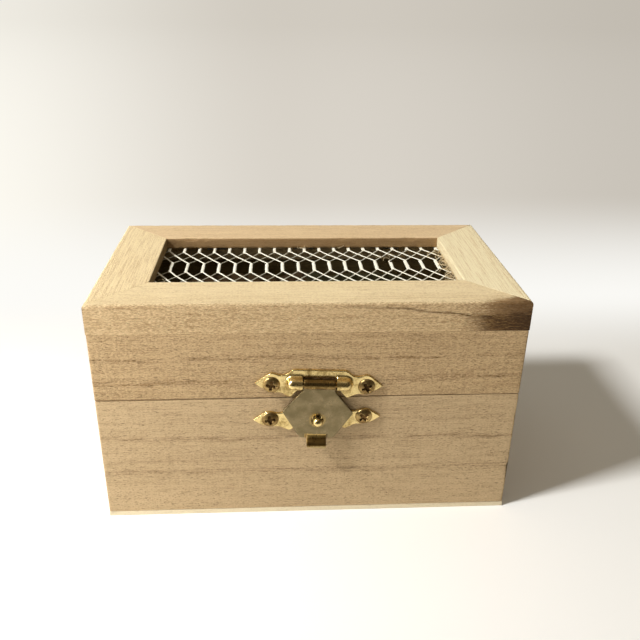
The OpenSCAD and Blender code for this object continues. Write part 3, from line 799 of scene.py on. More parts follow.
def strand_path(x0, way, seed):
    """From the back of the window to its front: bars joined by slanting runs that go way (1 or -1) along X."""
    path, x, aside = [], x0, 0.2 * way  # in a bar, the two strands lie side by side
    for row in (2, 1, 0, -1, -2):
        y = ROW_Y + row * ROW
        path += [(x, y + BAR / 2 - BAR * t, aside) for t in spread(0, 1, 8)]
        path += [(x + way * REACH * t, y - BAR / 2 - (ROW - BAR) * t, aside * (1 - sin(pi * t)))
                 for t in spread(0, 1, 10)[1:-1]]
        x += way * REACH
    out = []
    for x, y, offset in path:
        u = x + offset + 0.10 * lumpy(x, y, 0, 4.0, seed) + 0.05 * lumpy(x, y, 0, 1.1, seed + 3)
        out.append((u, y + sag(u) + 0.10 * lumpy(x, y, 5, 5.0, seed + 6), 0.07 * lumpy(x, y, 9, 2.0, seed)))
    return out


def clipped(path, keep):
    """The runs of a path whose points pass keep(x, y)."""
    runs = [list(run) for kept, run in groupby(path, lambda point: keep(*point[:2])) if kept]
    return [run for run in runs if len(run) > 2]


def in_window(x, y):
    return WIN_L - MARGIN < x < WIN_R + MARGIN and WIN_F - MARGIN < y < WIN_B + MARGIN


def make_strands(name, way, width, lift, paint, node=None, gaps=()):
    """One of the sheet's two sets of strands. gaps are places (x, y, half width, half depth) where they are missing."""
    shapes = []
    for col in range(-22, 23):
        whole = strand_path(col * PITCH + PITCH / 2, way, 3.0 + way)
        for run in clipped(whole, lambda x, y: in_window(x, y) and not any(
                abs(x - gx) < gw and abs(y - gy) < gh for gx, gy, gw, gh in gaps)):
            fine = []
            for first, last in zip(run, run[1:]):
                fine += [first, tuple(a + (b - a) * 0.5 for a, b in zip(first, last))]
            path = [(x, y, MESH_Z - 0.3 + lift + z) for x, y, z in fine + run[-1:]]
            radius = []
            for x, y, _ in path:
                row = abs((y - sag(x) - ROW_Y + ROW / 2) % ROW - ROW / 2)
                thick = 1 + 0.25 * clamp((BAR / 2 + 0.4 - row) / 0.6)
                radius.append(width / 2 * thick * (1 + 0.16 * lumpy(x, y, 0, 0.8, 8.0 + way)))
            shapes.append(tube(path, radius, sides=6, flat=0.5))
    piece(name, join(*shapes), paint, "lid", node)


def make_window():
    pale = strand_paint("strand_pale", srgb(255, 254, 240), srgb(242, 236, 214))
    # the lower strands are the same fibre as the upper ones, painted grey as painted shade
    grey = strand_paint("strand_shaded_grey", srgb(190, 184, 163), srgb(146, 139, 118), srgb(250, 246, 228))
    # one strand has snapped: its slanting run ends short of the bar in front
    make_strands("mesh_over_strands", 1, 0.56, 0.10, pale, "window_mesh", gaps=[(25.4, 8.0, 1.5, 1.6)])
    make_strands("mesh_under_strands", -1, 0.40, -0.12, grey)
    # the sheet's selvedge, hidden in the rebate
    a, b = MARGIN - 0.05, MARGIN - 0.75
    loops = []
    left, right, front, back = WIN_L - a, WIN_R + a, WIN_F - a, WIN_B + a
    for x, y in densify([(left, front), (right, front), (right, back), (left, back)], 3):
        sx = (WIN_L - b if x < WIN_L else WIN_R + b if x > WIN_R else x)
        sy = (WIN_F - b if y < WIN_F else WIN_B + b if y > WIN_B else y)
        loops.append([(x, y, MESH_Z - 0.08), (sx, sy, MESH_Z - 0.08), (sx, sy, MESH_Z - 0.5), (x, y, MESH_Z - 0.5)])
    piece("mesh_selvedge", rings(loops, closed=True), pale, "lid", weighted=True)
    # frayed fibres, each as (x, y, heading, length, curl)
    rng = random.Random(5)
    frays = [(-1.4, 17.4, -0.6, 7.0, 0.45), (1.2, 17.9, -1.2, 6.0, -0.5), (22.2, 9.0, -0.7, 2.6, 0.2),
             (10.8, 18.0, -1.0, 5.0, 0.5), (26.6, 9.4, 2.8, 4.0, -0.6), (26.2, 6.6, 1.9, 3.4, 0.5),
             (-40.6, -11.4, 1.2, 4.0, 0.3)]
    cut_edge = []
    for t in spread(0, 1, 33):  # the cut edge at the right is a tangle
        cut_edge.append((40.9 + 2.0 * rng.random() + 0.4 * (1 - t), 13.0 - 24.5 * t, 6.3 * rng.random(),
                         2.8 + 3.0 * rng.random(), rng.choice((-1, 1)) * (0.3 + 0.6 * rng.random())))
    old = strand_paint("strand_tan", srgb(226, 206, 166), srgb(190, 166, 124))
    for name, runs, width in (("mesh_loose_fibres", frays, 0.06), ("mesh_cut_edge", cut_edge, 0.085)):
        shapes = []
        for x, y, heading, length, curl in runs:
            path = []
            for k in range(30):
                path.append((x, y, MESH_Z + 0.15 + 0.6 * sin(pi * k / 29)))
                heading += curl * (0.4 + 0.6 * rng.random()) * length / 12
                x = min(x + cos(heading) * length / 30, WIN_R - 0.15)
                y += sin(heading) * length / 30
            shapes.append(tube(path, width, sides=5))
        piece(name, join(*shapes), old, "lid")


make_window()


# ---- Metal ----
def metal(name, bright, dull, roughness, spots=0.5, brush=None, depth=0.02, tint=None, clean=0.0):
    """Plated sheet metal: cloudy tarnish from bright to dull, and small dark spots. clean spares it some of that,
    brush(paint, height) adds to its relief, and tint(paint, colour) changes its colour by place."""
    p = Paint(name, Metallic=1.0)
    cloud = p.noise(3.2, 4, 1.0, rough=0.62)
    fine = p.noise(0.5, 3, 4.0, rough=0.7)
    tarnish = p.step(fine * 0.35 + cloud, 0.5 + clean, 0.84 + clean)
    colour = p.mix(tarnish, bright, dull)
    speck = p.step(p.noise(0.32, 1, 9.0), 0.68, 0.78, 0.0, spots)
    colour = p.mix(speck, colour, tuple(0.35 * c for c in dull))
    p.link(tint(p, colour) if tint else colour, "Base Color")
    p.link((tarnish + fine) * 0.16 + roughness, "Roughness")
    height = p.noise(1.4, 3, 12.0)
    p.bump(brush(p, height) if brush else height, depth)
    return p.material


def swirl(p, height):
    """Faint rings left by polishing the flap, about a point near its middle."""
    x, _, z = p.split(p.place)
    return p.noise_of(p.far(x - (HASP_X - 1.2), z - 38.4) * 3.4, 3.0, 0.7) * 1.4 + height


def worn_tab_and_glint(p, colour):
    """The flap has lost its grey plating on its finger tab below the bend and round the stud's hole. A bright gold band
    where the bend starts is a painted highlight.
    """
    x, _, z = p.split(p.place)
    patch = p.noise(0.5, 2, 6.0)
    du = x - (HASP_X - 0.47)
    colour = p.mix(p.step(p.far(du, z - STUD_Z) + patch, 3.1, 2.4, 0.0, 0.7), colour, srgb(172, 146, 92))
    low = patch * 0.5 + z
    aside = p.step(abs(x - (HASP_X - 0.9)), 3.3, 2.7)
    # painted highlight: a bright gold band where the tab starts to bend
    bend = p.step(du * 0.06 + low, 28.8, 28.5) * aside
    colour = p.mix(bend, colour, srgb(206, 174, 106))
    colour = p.mix(p.step(low, 27.95, 27.6) * aside, colour, srgb(122, 96, 52))
    return p.mix(p.step(low, 26.0, 25.7, 0.0, 0.8), colour, srgb(186, 164, 118))


def rolled(p, height):
    """Fine lines along the roll, left by bending the sheet."""
    return p.noise((9.0, 0.16, 0.16), 2, 3.0) * 1.2 + height


HASP_X, PIN_Z, STUD_Z = 2.3, 44.1, 32.9
LEAN, CATCH_LEAN = 2.4, -1.0
PLATE_T, PIN_OUT, ROLL_R, ROLL_HALF = 0.7, 1.6, 1.45, 4.3
BULGE_R, BULGE_HALF = 1.7, 8.8
SCREW_U, SCREW_V, SCREW_R, SCREW_DOME = 12.9, -1.05, 2.35, 1.1
FLAP_LOW, FLAP_HIGH = 1.2, 2.0
ON_HASP = onto_box((HASP_X, -HD, PIN_Z), LEAN)
ON_CATCH = onto_box((HASP_X - tan(radians(LEAN)) * (PIN_Z - STUD_Z), -HD, STUD_Z), CATCH_LEAN)


def mirrored(half):
    return half + [(-u, v) for u, v in reversed(half) if u > 0]


def dish(distance, depth, r):
    """How deep a screw has pressed a plate in at a distance from the screw's middle."""
    return depth * exp(-(distance / r) ** 6)


def dished(u, v):
    """A plate's face, with a shallow dish round each screw."""
    return PLATE_T - dish(hypot(abs(u) - SCREW_U, v), 0.12, 2.7)


def top_plate_height(u, v):
    """The face of the hasp's upper plate, with the two bulges that hold the pin."""
    a = abs(u)
    d = hypot(v, max(0.0, a - BULGE_HALF + BULGE_R)) - BULGE_R
    z = dished(u, v - SCREW_V)
    if a < ROLL_HALF + 0.3:  # clear of the flap's neck as it turns
        return z
    if d < 0:
        return PIN_OUT + sqrt(max(0.0, BULGE_R ** 2 - (d + BULGE_R) ** 2))
    return z + (PIN_OUT - PLATE_T) * peak(d, 0.5) ** 2


def screw_head(r, dome, turn, seed):
    """A screw's domed head on z = 0, with a worn cross recess."""
    rim, rise = 0.25, dome - 0.25
    ball = (r * r + rise ** 2) / (2 * rise)
    c, s = polar(1, radians(turn))

    def crown(rr):
        return rim + sqrt(max(0.0, ball * ball - rr * rr)) - (ball - rise)

    def height(u, v):
        rr = hypot(u, v)
        a, b = u * c + v * s, -u * s + v * c
        cut = 0.0
        for along, across in ((a, b), (b, a)):
            arm = (0.64 * r - abs(along)) / (0.12 * r)
            width = (0.185 * r - abs(across) + 0.03 * lumpy(u, v, 0, 0.3, seed)) / (0.07 * r)
            cut = max(cut, clamp(arm) * clamp(width))
        cone = clamp((0.36 * r - rr) / (0.16 * r))
        return crown(rr) - dome * (0.55 * max(cut, cone) + 0.1 * peak(rr, 0.5 * r) * cut)

    # the cross recess takes the second, dark material: painted shade
    def in_recess(u, v):
        return crown(hypot(u, v)) - height(u, v) > 0.2 * dome

    return stamped(disc_outline(r, 40), height, 0.0, pitch=r * 0.07, rim=0.12, step=1, second=in_recess)


def scrolled(half, tips, height, pitch):
    """A plate cut to a mirrored outline. tips gives the radii of its sharper and blunter corners."""
    outline = mirrored(half)
    radii = [tips.get((abs(u), v), 0.6) for u, v in outline]
    return stamped(soften(outline, radii), height, pitch=pitch, rim=0.2)


def screws(turn, step, v, seed):
    """The two screws of a plate."""
    return join(*(placed(screw_head(SCREW_R, SCREW_DOME, step * s + turn, s + seed), at(s * SCREW_U, v, PLATE_T - 0.14))
                  for s in (-1, 1)))


def sheet_roll(spans, count, segments, radius, out, ease, edge, marks, rough=0.0):
    """Sheet rolled round a pin. Each mark (angle, depth, half width) is a slit or crease that runs along it."""
    shapes = []
    for u0, u1 in spans:
        loops = []
        for u in spread(u0, u1, count):
            loop = []
            for a in angles(segments):
                r = radius - ease * peak(min(u - u0, u1 - u), edge)
                for turn, depth, half in marks:
                    r -= depth * peak(abs((degrees(a) - turn + 180) % 360 - 180), half)
                if rough:
                    r += rough * lumpy(u, 4 * cos(a), 4 * sin(a), 1.5, 3.0)
                loop.append((u, r * sin(a), out + r * cos(a)))
            loops.append(loop)
        shapes.append(rings(loops))
    return join(*shapes)


def flap_height(u, v):
    return FLAP_HIGH - 0.02 + 0.04 * lumpy(u, v, 0, 6.0, 2.0) - 0.1 * peak(abs(hypot(u, v + 11.5) - 2.1), 0.5)


def finger_tab():
    path = through([(-15.3, 1.6), (-16.1, 1.64), (-16.75, 1.98), (-17.3, 2.5), (-17.75, 3.02), (-18.2, 3.4),
                    (-18.7, 3.5), (-19.2, 3.5)], 4)
    last, loops = len(path) - 1, []
    for i, (v, z) in enumerate(path):
        along = (Vector(path[min(i + 1, last)]) - Vector(path[max(i - 1, 0)])).normalized()
        end = peak(last - i, 2.5)
        half_t, half_w = 0.37 * (1 - 0.35 * end), 2.7 - 0.25 * end
        loops.append([(u, v + along.y * w, z - along.x * w)
                      for u, w in section(-half_w, half_w, -half_t, half_t, (0.15,) * 4, sides=(8, 1))])
    return rings(loops)


def make_hasp():
    brass = metal("brass_gilt", srgb(232, 208, 146), srgb(160, 132, 76), 0.17, depth=0.025, clean=0.08)
    worn = metal("brass_roll", srgb(150, 126, 78), srgb(100, 78, 42), 0.16, brush=rolled)
    flap = metal("flap_grey", srgb(140, 125, 94), srgb(126, 113, 82), 0.2, spots=0.15, brush=swirl, depth=0.035,
                 tint=worn_tab_and_glint)
    # the screws' second metal is dark: painted shade in their cross recesses
    screw = (metal("screw_bronze", srgb(180, 154, 102), srgb(128, 102, 60), 0.22),
             metal("screw_recess_shade", srgb(130, 102, 62), srgb(88, 66, 38), 0.5))
    top_plate = scrolled(
        [(0, 3.75), (7.2, 3.75), (9.1, 2.1), (10.9, 1.9), (13, 2.8), (14.9, 1.3), (17.4, -0.75), (14.9, -2.5),
         (12.8, -3.6), (10.6, -3.3), (7.6, -4.8), (5.9, -2.8), (4.5, -2.2), (4.5, 1.5), (0, 1.5)],
        {(17.4, -0.75): 0.35, (13, 2.8): 1.2, (14.9, 1.3): 1.4, (14.9, -2.5): 1.4, (12.8, -3.6): 1.2,
         (4.5, -2.2): 0.3, (4.5, 1.5): 0.25}, top_plate_height, 0.26)
    catch_plate = scrolled(
        [(0, 2.2), (8.5, 2.2), (10.6, 1.7), (13.6, 2.6), (15.3, 1.4), (17.6, -0.1), (15.3, -1.8), (13, -2.6),
         (10.6, -2.3), (7.6, -3.9), (5.5, -2.2), (0, -2.2)],
        {(17.6, -0.1): 0.35, (13.6, 2.6): 1.2, (15.3, 1.4): 1.4, (15.3, -1.8): 1.4, (13, -2.6): 1.2, (7.6, -3.9): 0.8},
        dished, 0.32)
    # flap: rolled edge, hexagon with the stud's hole, finger tab
    outline = mirrored([(0, -1), (4.3, -1), (4.3, -2), (9.75, -8.75), (4.6, -17), (2.9, -17), (2.9, -15.6), (0, -15.6)])
    radii = [{9.75: 0.7, 4.6: 0.6}.get(abs(u), 0.2) for u, _ in outline]
    hole = disc_outline(1.6, 32, STUD_Z - PIN_Z)[::-1]
    flap_plate = stamped(soften(outline, radii), flap_height, FLAP_LOW, [hole], pitch=0.4, rim=0.16)
    roll = sheet_roll([(-ROLL_HALF, ROLL_HALF)], 24, 44, ROLL_R, PIN_OUT, 0.12, 0.15,
                      [(62, 0.22, 7), (-22, 0.05, 7)], 0.012)
    neck, ball, out = 0.85, 1.4, 2.8
    stud = [(neck + 0.25, PLATE_T - 0.05), (neck + 0.22, PLATE_T + 0.2), (neck, PLATE_T + 0.4), (neck, out - 1.1)]
    stud += [(ball * cos(a), out + ball * sin(a)) for a in spread(asin(-1.1 / ball), pi / 2, 14)]
    for name, shape, place, paint, slot, body in (
            ("hasp_top_plate", top_plate, ON_HASP, brass, "gilt_brass", None),
            ("catch_plate", catch_plate, ON_CATCH, brass, "gilt_brass", None),
            ("hasp_flap_roll", roll, ON_HASP, worn, "gilt_brass", "flap"),
            ("hasp_flap", join(flap_plate, finger_tab()), ON_HASP, flap, "flap_metal", None),
            ("hasp_lid_screws", screws(10, 20, SCREW_V, 0), ON_HASP, screw, "screw_brass", None),
            ("hasp_base_screws", screws(25, 15, 0, 5), ON_CATCH, screw, "screw_brass", None),
            ("catch_stud", turned(stud, 32), ON_CATCH, brass, "gilt_brass", None)):
        piece(name, placed(shape, place), paint, body)
    paint_node("hasp_pin", worn)
    return brass, worn, screw


def paint_node(name, paint):
    """A CAD node keeps its shape and takes this material."""
    for material_slot in NODES[name].material_slots:
        material_slot.material = paint


BRASS, WORN_BRASS, SCREW_METAL = make_hasp()


# ---- Rear hinges ----
def make_hinges():
    low, high, notch, leaf_t, half, third = 0.25, 8.5, 1.55, 0.8, 9.0, 3.0
    out, gap = 1.45, 0.2
    screw_u, screw_v, screw_r, screw_dome = 5.6, 5.4, 1.5, 0.7
    leaves = (("lid", 1), ("base", -1))
    places = {side: onto_box((side * 34.0, HD, SEAM), 0, back=True) for side in (-1, 1)}
    for side, word in ((-1, "left"), (1, "right")):
        for part, up in leaves:
            # the lid leaf's middle carries its knuckle, and its sides stand back from the other leaf's knuckles
            inner = third - up * gap / 2
            sides, middle = (notch, low) if up > 0 else (low, notch)
            outline = [(-half, sides), (-inner, sides), (-inner, middle), (inner, middle), (inner, sides),
                       (half, sides), (half, high), (-half, high)]
            outline = [(u, up * v) for u, v in soften(outline, [0.12] * 6 + [1.3, 1.3])][::up]

            def height(u, v):
                pressed = dish(hypot(abs(u) - screw_u, v - up * screw_v), 0.15, 1.8)
                return leaf_t - pressed + 0.02 * lumpy(u, v, 0, 4.0, side + up)

            spans = [(-inner, inner)] if up > 0 else [(-half, -inner), (inner, half)]
            knuckles = sheet_roll(spans, 16, 36, 1.35, out, 0.14, 0.18, [(-55 * up, 0.2, 9)])
            leaf = join(stamped(outline, height, 0.0, pitch=0.42, rim=0.16), knuckles)
            piece(f"{word}_hinge_{part}_leaf", placed(leaf, places[side]), BRASS)
        pin = [(0.6 - 0.2 * abs(s) ** 6, 8.98 * s) for s in spread(-1, 1, 40)]
        across = places[side] @ at(0, 0, out) @ Matrix.Rotation(radians(90), 4, "Y")
        piece(f"{word}_hinge_pin", placed(turned(pin, 20), across), WORN_BRASS)
    for part, up in leaves:
        shapes = []
        for k, (h, s) in enumerate((h, s) for h in (-1, 1) for s in (-1, 1)):
            head = screw_head(screw_r, screw_dome, 17 + 31 * k + 8 * up, k + 0.5)
            shapes.append(placed(head, places[h] @ at(s * screw_u, up * screw_v, leaf_t - 0.12)))
        piece(f"hinge_{part}_screws", join(*shapes), SCREW_METAL)


make_hinges()


# ---- Jack ----
BOARD_TOP, DISC_Z, DISC_TOP = 4.5, 21.5, 24.5
SPRING_R, WIRE_R, TURNS = 12.5, 0.6, 7
HEAD_R, HEAD_Z = 16.3, 44.2


def coil_height(turn):
    low, high, end = BOARD_TOP + WIRE_R, DISC_Z - WIRE_R, 2 * WIRE_R + 0.2
    pitch = (high - low - 2 * end) / (TURNS - 2)
    return low + end * (min(turn, 1) + max(turn - TURNS + 1, 0)) + pitch * min(max(turn - 1, 0), TURNS - 2)


def make_spring():
    steel = metal("spring_steel", srgb(205, 205, 202), srgb(150, 148, 142), 0.18)
    for name in ("mesh_staples", "lower_spring_staples", "upper_spring_staples"):
        paint_node(name, steel)
    loops = []
    for turn in (i / 40 for i in range(TURNS * 40 + 1)):
        # the middle turns are drawn flat, because pulling the spring out makes them taller again
        rise = WIRE_R * (1 - 0.7 * clamp(min((turn - 1) / 0.5, (TURNS - 1 - turn) / 0.5)))
        loops.append([(*polar(SPRING_R + WIRE_R * cos(b), tau * turn), coil_height(turn) + rise * sin(b))
                      for b in angles(10)])
    piece("spring", rings(loops), steel, blend=(6.5, 19.5))


def cloth(name, colour, stripe=None, weave=0.45, rough=0.85):
    """Plain-woven cotton. stripe is the colour of its 16 stripes."""
    p = Paint(name, Roughness=rough, Sheen_Weight=0.3, Sheen_Roughness=0.5, Specular_IOR_Level=0.2)
    x, y, z = p.split(p.place)
    angle = p.math("ARCTAN2", y, x)
    if stripe:
        colour = p.mix(p.step(p.math("SINE", angle * 16), 0.44, 0.56), colour, stripe)
    soil = p.noise(6, 4, 3.0, rough=0.6)
    dark = p.mix(1.0, colour, (0.62, 0.6, 0.58), "MULTIPLY")
    colour = p.mix(p.step(soil, 0.42, 0.7, 0.0, 0.55), colour, dark)
    thread = p.math("SINE", angle * round(tau * 18 / weave)) * p.math("SINE", z * (tau / weave))
    p.link(p.mix(p.step(thread, -0.6, 0.6, 0.0, 0.16), colour, dark), "Base Color")
    p.bump(thread * 0.5 + p.noise(0.5, 2, 6.0), 0.09, 0.9)
    return p.material


def make_sleeve():
    folds, low, high, thick = 5, BOARD_TOP + 0.25, DISC_TOP - 0.2, 0.45

    def meridian(s, a):
        """Radius and height of the cloth's middle, s from 0 below to 1 above, at angle a."""
        wave = cos(tau * folds * s)
        grip = clamp((1 - s) / 0.18)
        deep = 3.15 * grip * (0.9 + 0.25 * swell(*polar(3, a), 6 * s))
        r = 17.35 + 0.25 * grip - deep * wave * (1 if s < 0.96 else 0)
        r += 0.35 * grip * swell(*polar(9, a), 2.5 * s)
        z = low + (high - low) * s
        z -= 0.55 * grip * (-wave) * (1 if s > 0.06 else s / 0.06)
        z += 0.35 * grip * swell(*polar(5, a), 4 * s + 9) * min(1.0, s / 0.1)
        if s > 0.86:  # tacked round the disc
            r = max(r, 17.3 + thick / 2)
        return min(max(r, 13.95), 20.75), z

    loops = []
    for a in angles(144):
        line = [Vector(meridian(s, a)) for s in spread(0, 1, 120)]
        outer, inner = [], []
        for point, behind, ahead in zip(line, line[:1] + line, line[1:] + line[-1:]):
            along = (ahead - behind).normalized()
            normal = Vector((along.y, -along.x)) * thick / 2
            outer.append(point + normal)
            inner.append(point - normal)
        loops.append([(*polar(r, a), z) for r, z in outer + inner[::-1]])
    paint = cloth("sleeve_cotton", srgb(128, 28, 34), srgb(222, 196, 138))
    sleeve = piece("cloth_sleeve", rings(loops, closed=True), paint, blend=(BOARD_TOP, DISC_TOP))


def make_ruff():
    paint = cloth("ruff_cotton", srgb(242, 229, 203), weave=0.4)
    edge_paint = cloth("ruff_edging", srgb(150, 38, 40), weave=0.3)
    # each is a flounce cut as a flat ring: its outer and neck edges have these lengths
    for name, low, span, r1, pleats, phase, outer, node in (
            ("ruff_lower", 24.75, 2.5, 20.4, 19, 0.0, 149, "ruff_collar"),
            ("ruff_upper", 27.0, 2.2, 17.6, 16, 0.4, 123, None)):
        r0, thick, neck = 5.6, 0.32, 36

        def surface(t, a):
            wave = cos(pleats * a + phase + 0.5 * swell(*polar(2, a), low))
            grow = t ** 0.8
            r = r0 + (r1 - r0) * t + 0.3 * grow * swell(*polar(4, a), low + 5)
            return r, low + span / 2 + (span / 2 - thick) * wave * (0.2 + 0.8 * grow)

        loops, rim = [], []
        for a in angles(380):
            line = [surface(t, a) for t in spread(0, 1, 15)]
            top = [(*polar(r, a), z + thick / 2) for r, z in line]
            under = [(*polar(r, a), z - thick / 2) for r, z in line]
            loops.append(top + under[::-1])
            rim.append((*polar(line[-1][0], a), line[-1][1]))
        ruff = piece(name, rings(loops, closed=True), paint, "jack", node)
        hem = piece(name + "_edging", tube(rim, 0.36, sides=8, ring=True), edge_paint, "jack")


def painted_face():
    """Turned wood with a simple painted doll's face."""
    p = Paint("painted_face", Roughness=0.42, Coat_Weight=0.35, Coat_Roughness=0.2)
    x, y, z = p.split(p.place)
    grain = p.noise((2.2, 2.2, 24), 4, 4.0, rough=0.6)
    base = p.mix(p.step(grain, 0.35, 0.7), srgb(240, 208, 164), srgb(219, 178, 128))
    front = p.step(y, -5.0, -8.0)

    def spot(cx, cz, rx, rz, soft=0.12):
        """A round spot on either side."""
        return p.step(p.far((abs(x) - cx) / rx, (z - cz) / rz), 1 + soft, 1 - soft) * front

    worn = p.step(p.noise(1.2, 4, 7.0, rough=0.7), 0.72, 0.6, 0.25, 1.0)
    colour = p.mix(spot(9.0, 38.6, 3.4, 3.0, 0.75) * 0.7, base, srgb(214, 92, 78))
    # eyes: white, iris, pupil, glint
    colour = p.mix(spot(5.9, 43.5, 2.0, 2.1) * worn, colour, srgb(246, 243, 234))
    colour = p.mix(spot(5.7, 43.3, 1.3, 1.5), colour, srgb(58, 104, 128))
    colour = p.mix(spot(5.7, 43.3, 0.72, 0.85), colour, srgb(16, 14, 14))
    colour = p.mix(spot(5.2, 44.0, 0.34, 0.34), colour, srgb(255, 255, 255))
    # smile: part of a ring
    line = p.step(abs(p.far(x / 7.6, (z - 41.6) / 6.4) - 1.0), 0.1, 0.05) * p.step(z, 38.9, 38.2)
    p.link(p.mix(line * front * worn, colour, srgb(150, 30, 30)), "Base Color")
    ridges = p.noise_at(p.node("CombineXYZ", {2: z * 1.9}), 2.0, 0.5)
    p.bump(ridges * 0.8 + grain, 0.06, 0.8)
    return p.material


def nose_paint():
    p = Paint("nose_red", Roughness=0.22, Coat_Weight=0.5, Coat_Roughness=0.12)
    red = srgb(190, 30, 34)
    p.link(p.mix(p.step(p.noise(2.5, 3, 2.0), 0.35, 0.7), red, tuple(0.72 * c for c in red)), "Base Color")
    p.bump(p.noise(1.1, 2, 4.0), 0.02, 0.7)
    return p.material


def make_head():
    def ball(x, y, z):  # slightly lumpy, as turned and painted by hand
        d = 1 - 0.004 * abs(lumpy(x, y, z, 9.0, 2.0))
        return x * d, y * d, z

    # a ball cut off flat below, just inside the dowel's radius
    profile = [polar(HEAD_R, a) for a in spread(asin(-sqrt(1 - (4.6 / HEAD_R) ** 2)), pi / 2, 60)]
    profile[0] = (profile[0][0] - 0.4, profile[0][1] - 0.1)
    head = placed(turned(profile, 96, ball), at(0, 0, HEAD_Z))
    r = 2.5
    nose = [(0.01, -0.05), (2.1, -0.05)] + [(r * cos(a), r / 2 + r * sin(a)) for a in spread(-0.5, pi / 2, 20)]
    nose = placed(turned(nose, 40), at(0, -HEAD_R - 0.03, HEAD_Z - 1) @ Matrix.Rotation(radians(90), 4, "X"))
    dowel = [(4.7, DISC_TOP), (5.0, DISC_TOP + 0.3), (5.0, 27.0), (4.86, 27.3), (5.0, 27.6), (5.0, 34.6), (4.7, 34.9)]
    disc = [(0.01, DISC_Z), (8, DISC_Z), (16.4, DISC_Z), (17, DISC_Z + 0.5), (17, DISC_TOP - 0.5), (16.4, DISC_TOP),
            (8, DISC_TOP), (0.01, DISC_TOP)]
    piece("head", head, painted_face())
    piece("nose", nose, nose_paint())
    piece("neck_dowel", turned(dowel, 48), WOODS["dowel"])
    piece("seat_disc", turned(disc, 96), WOODS["board"])
    plank("spring_board", "spring_board", 0, (-23, -23, PLY), (23, 23, BOARD_TOP), (0.12, 0.12, 0.4, 0.4), 0.4,
          WOODS["board"], wavy(8.8, 0.04), pitch=2.0, sides=(20, 2))


# the middle line of one of the hat's horns, as (x, y, z, radius)
HORN = [(7, 2, 52.6, 8), (20, 4, 54.2, 6.8), (33, 5.5, 54, 5), (41, 6, 52, 3)]


def felt():
    """Nearly black wool felt: brown on the left half and olive on the right."""
    p = Paint("hat_felt", Roughness=0.95, Specular_IOR_Level=0.1)
    x, _, _ = p.split(p.place)
    colour = p.mix(p.step(x, -0.15, 0.15), srgb(56, 42, 24), srgb(48, 44, 24))
    lint = p.step(p.noise(0.5, 4, 3.0, rough=0.75), 0.5, 0.75)
    p.link(p.mix(lint * 0.35, colour, srgb(78, 64, 42)), "Base Color")
    p.bump(p.noise(0.22, 3, 8.0, rough=0.7), 0.12)
    return p.material


def bowl(r, brim, n):
    """The profile of a cap of radius r round the head, from its brim up."""
    return [(r * cos(a), HEAD_Z + r * sin(a)) for a in spread(asin((brim - HEAD_Z) / r), pi / 2, n)]


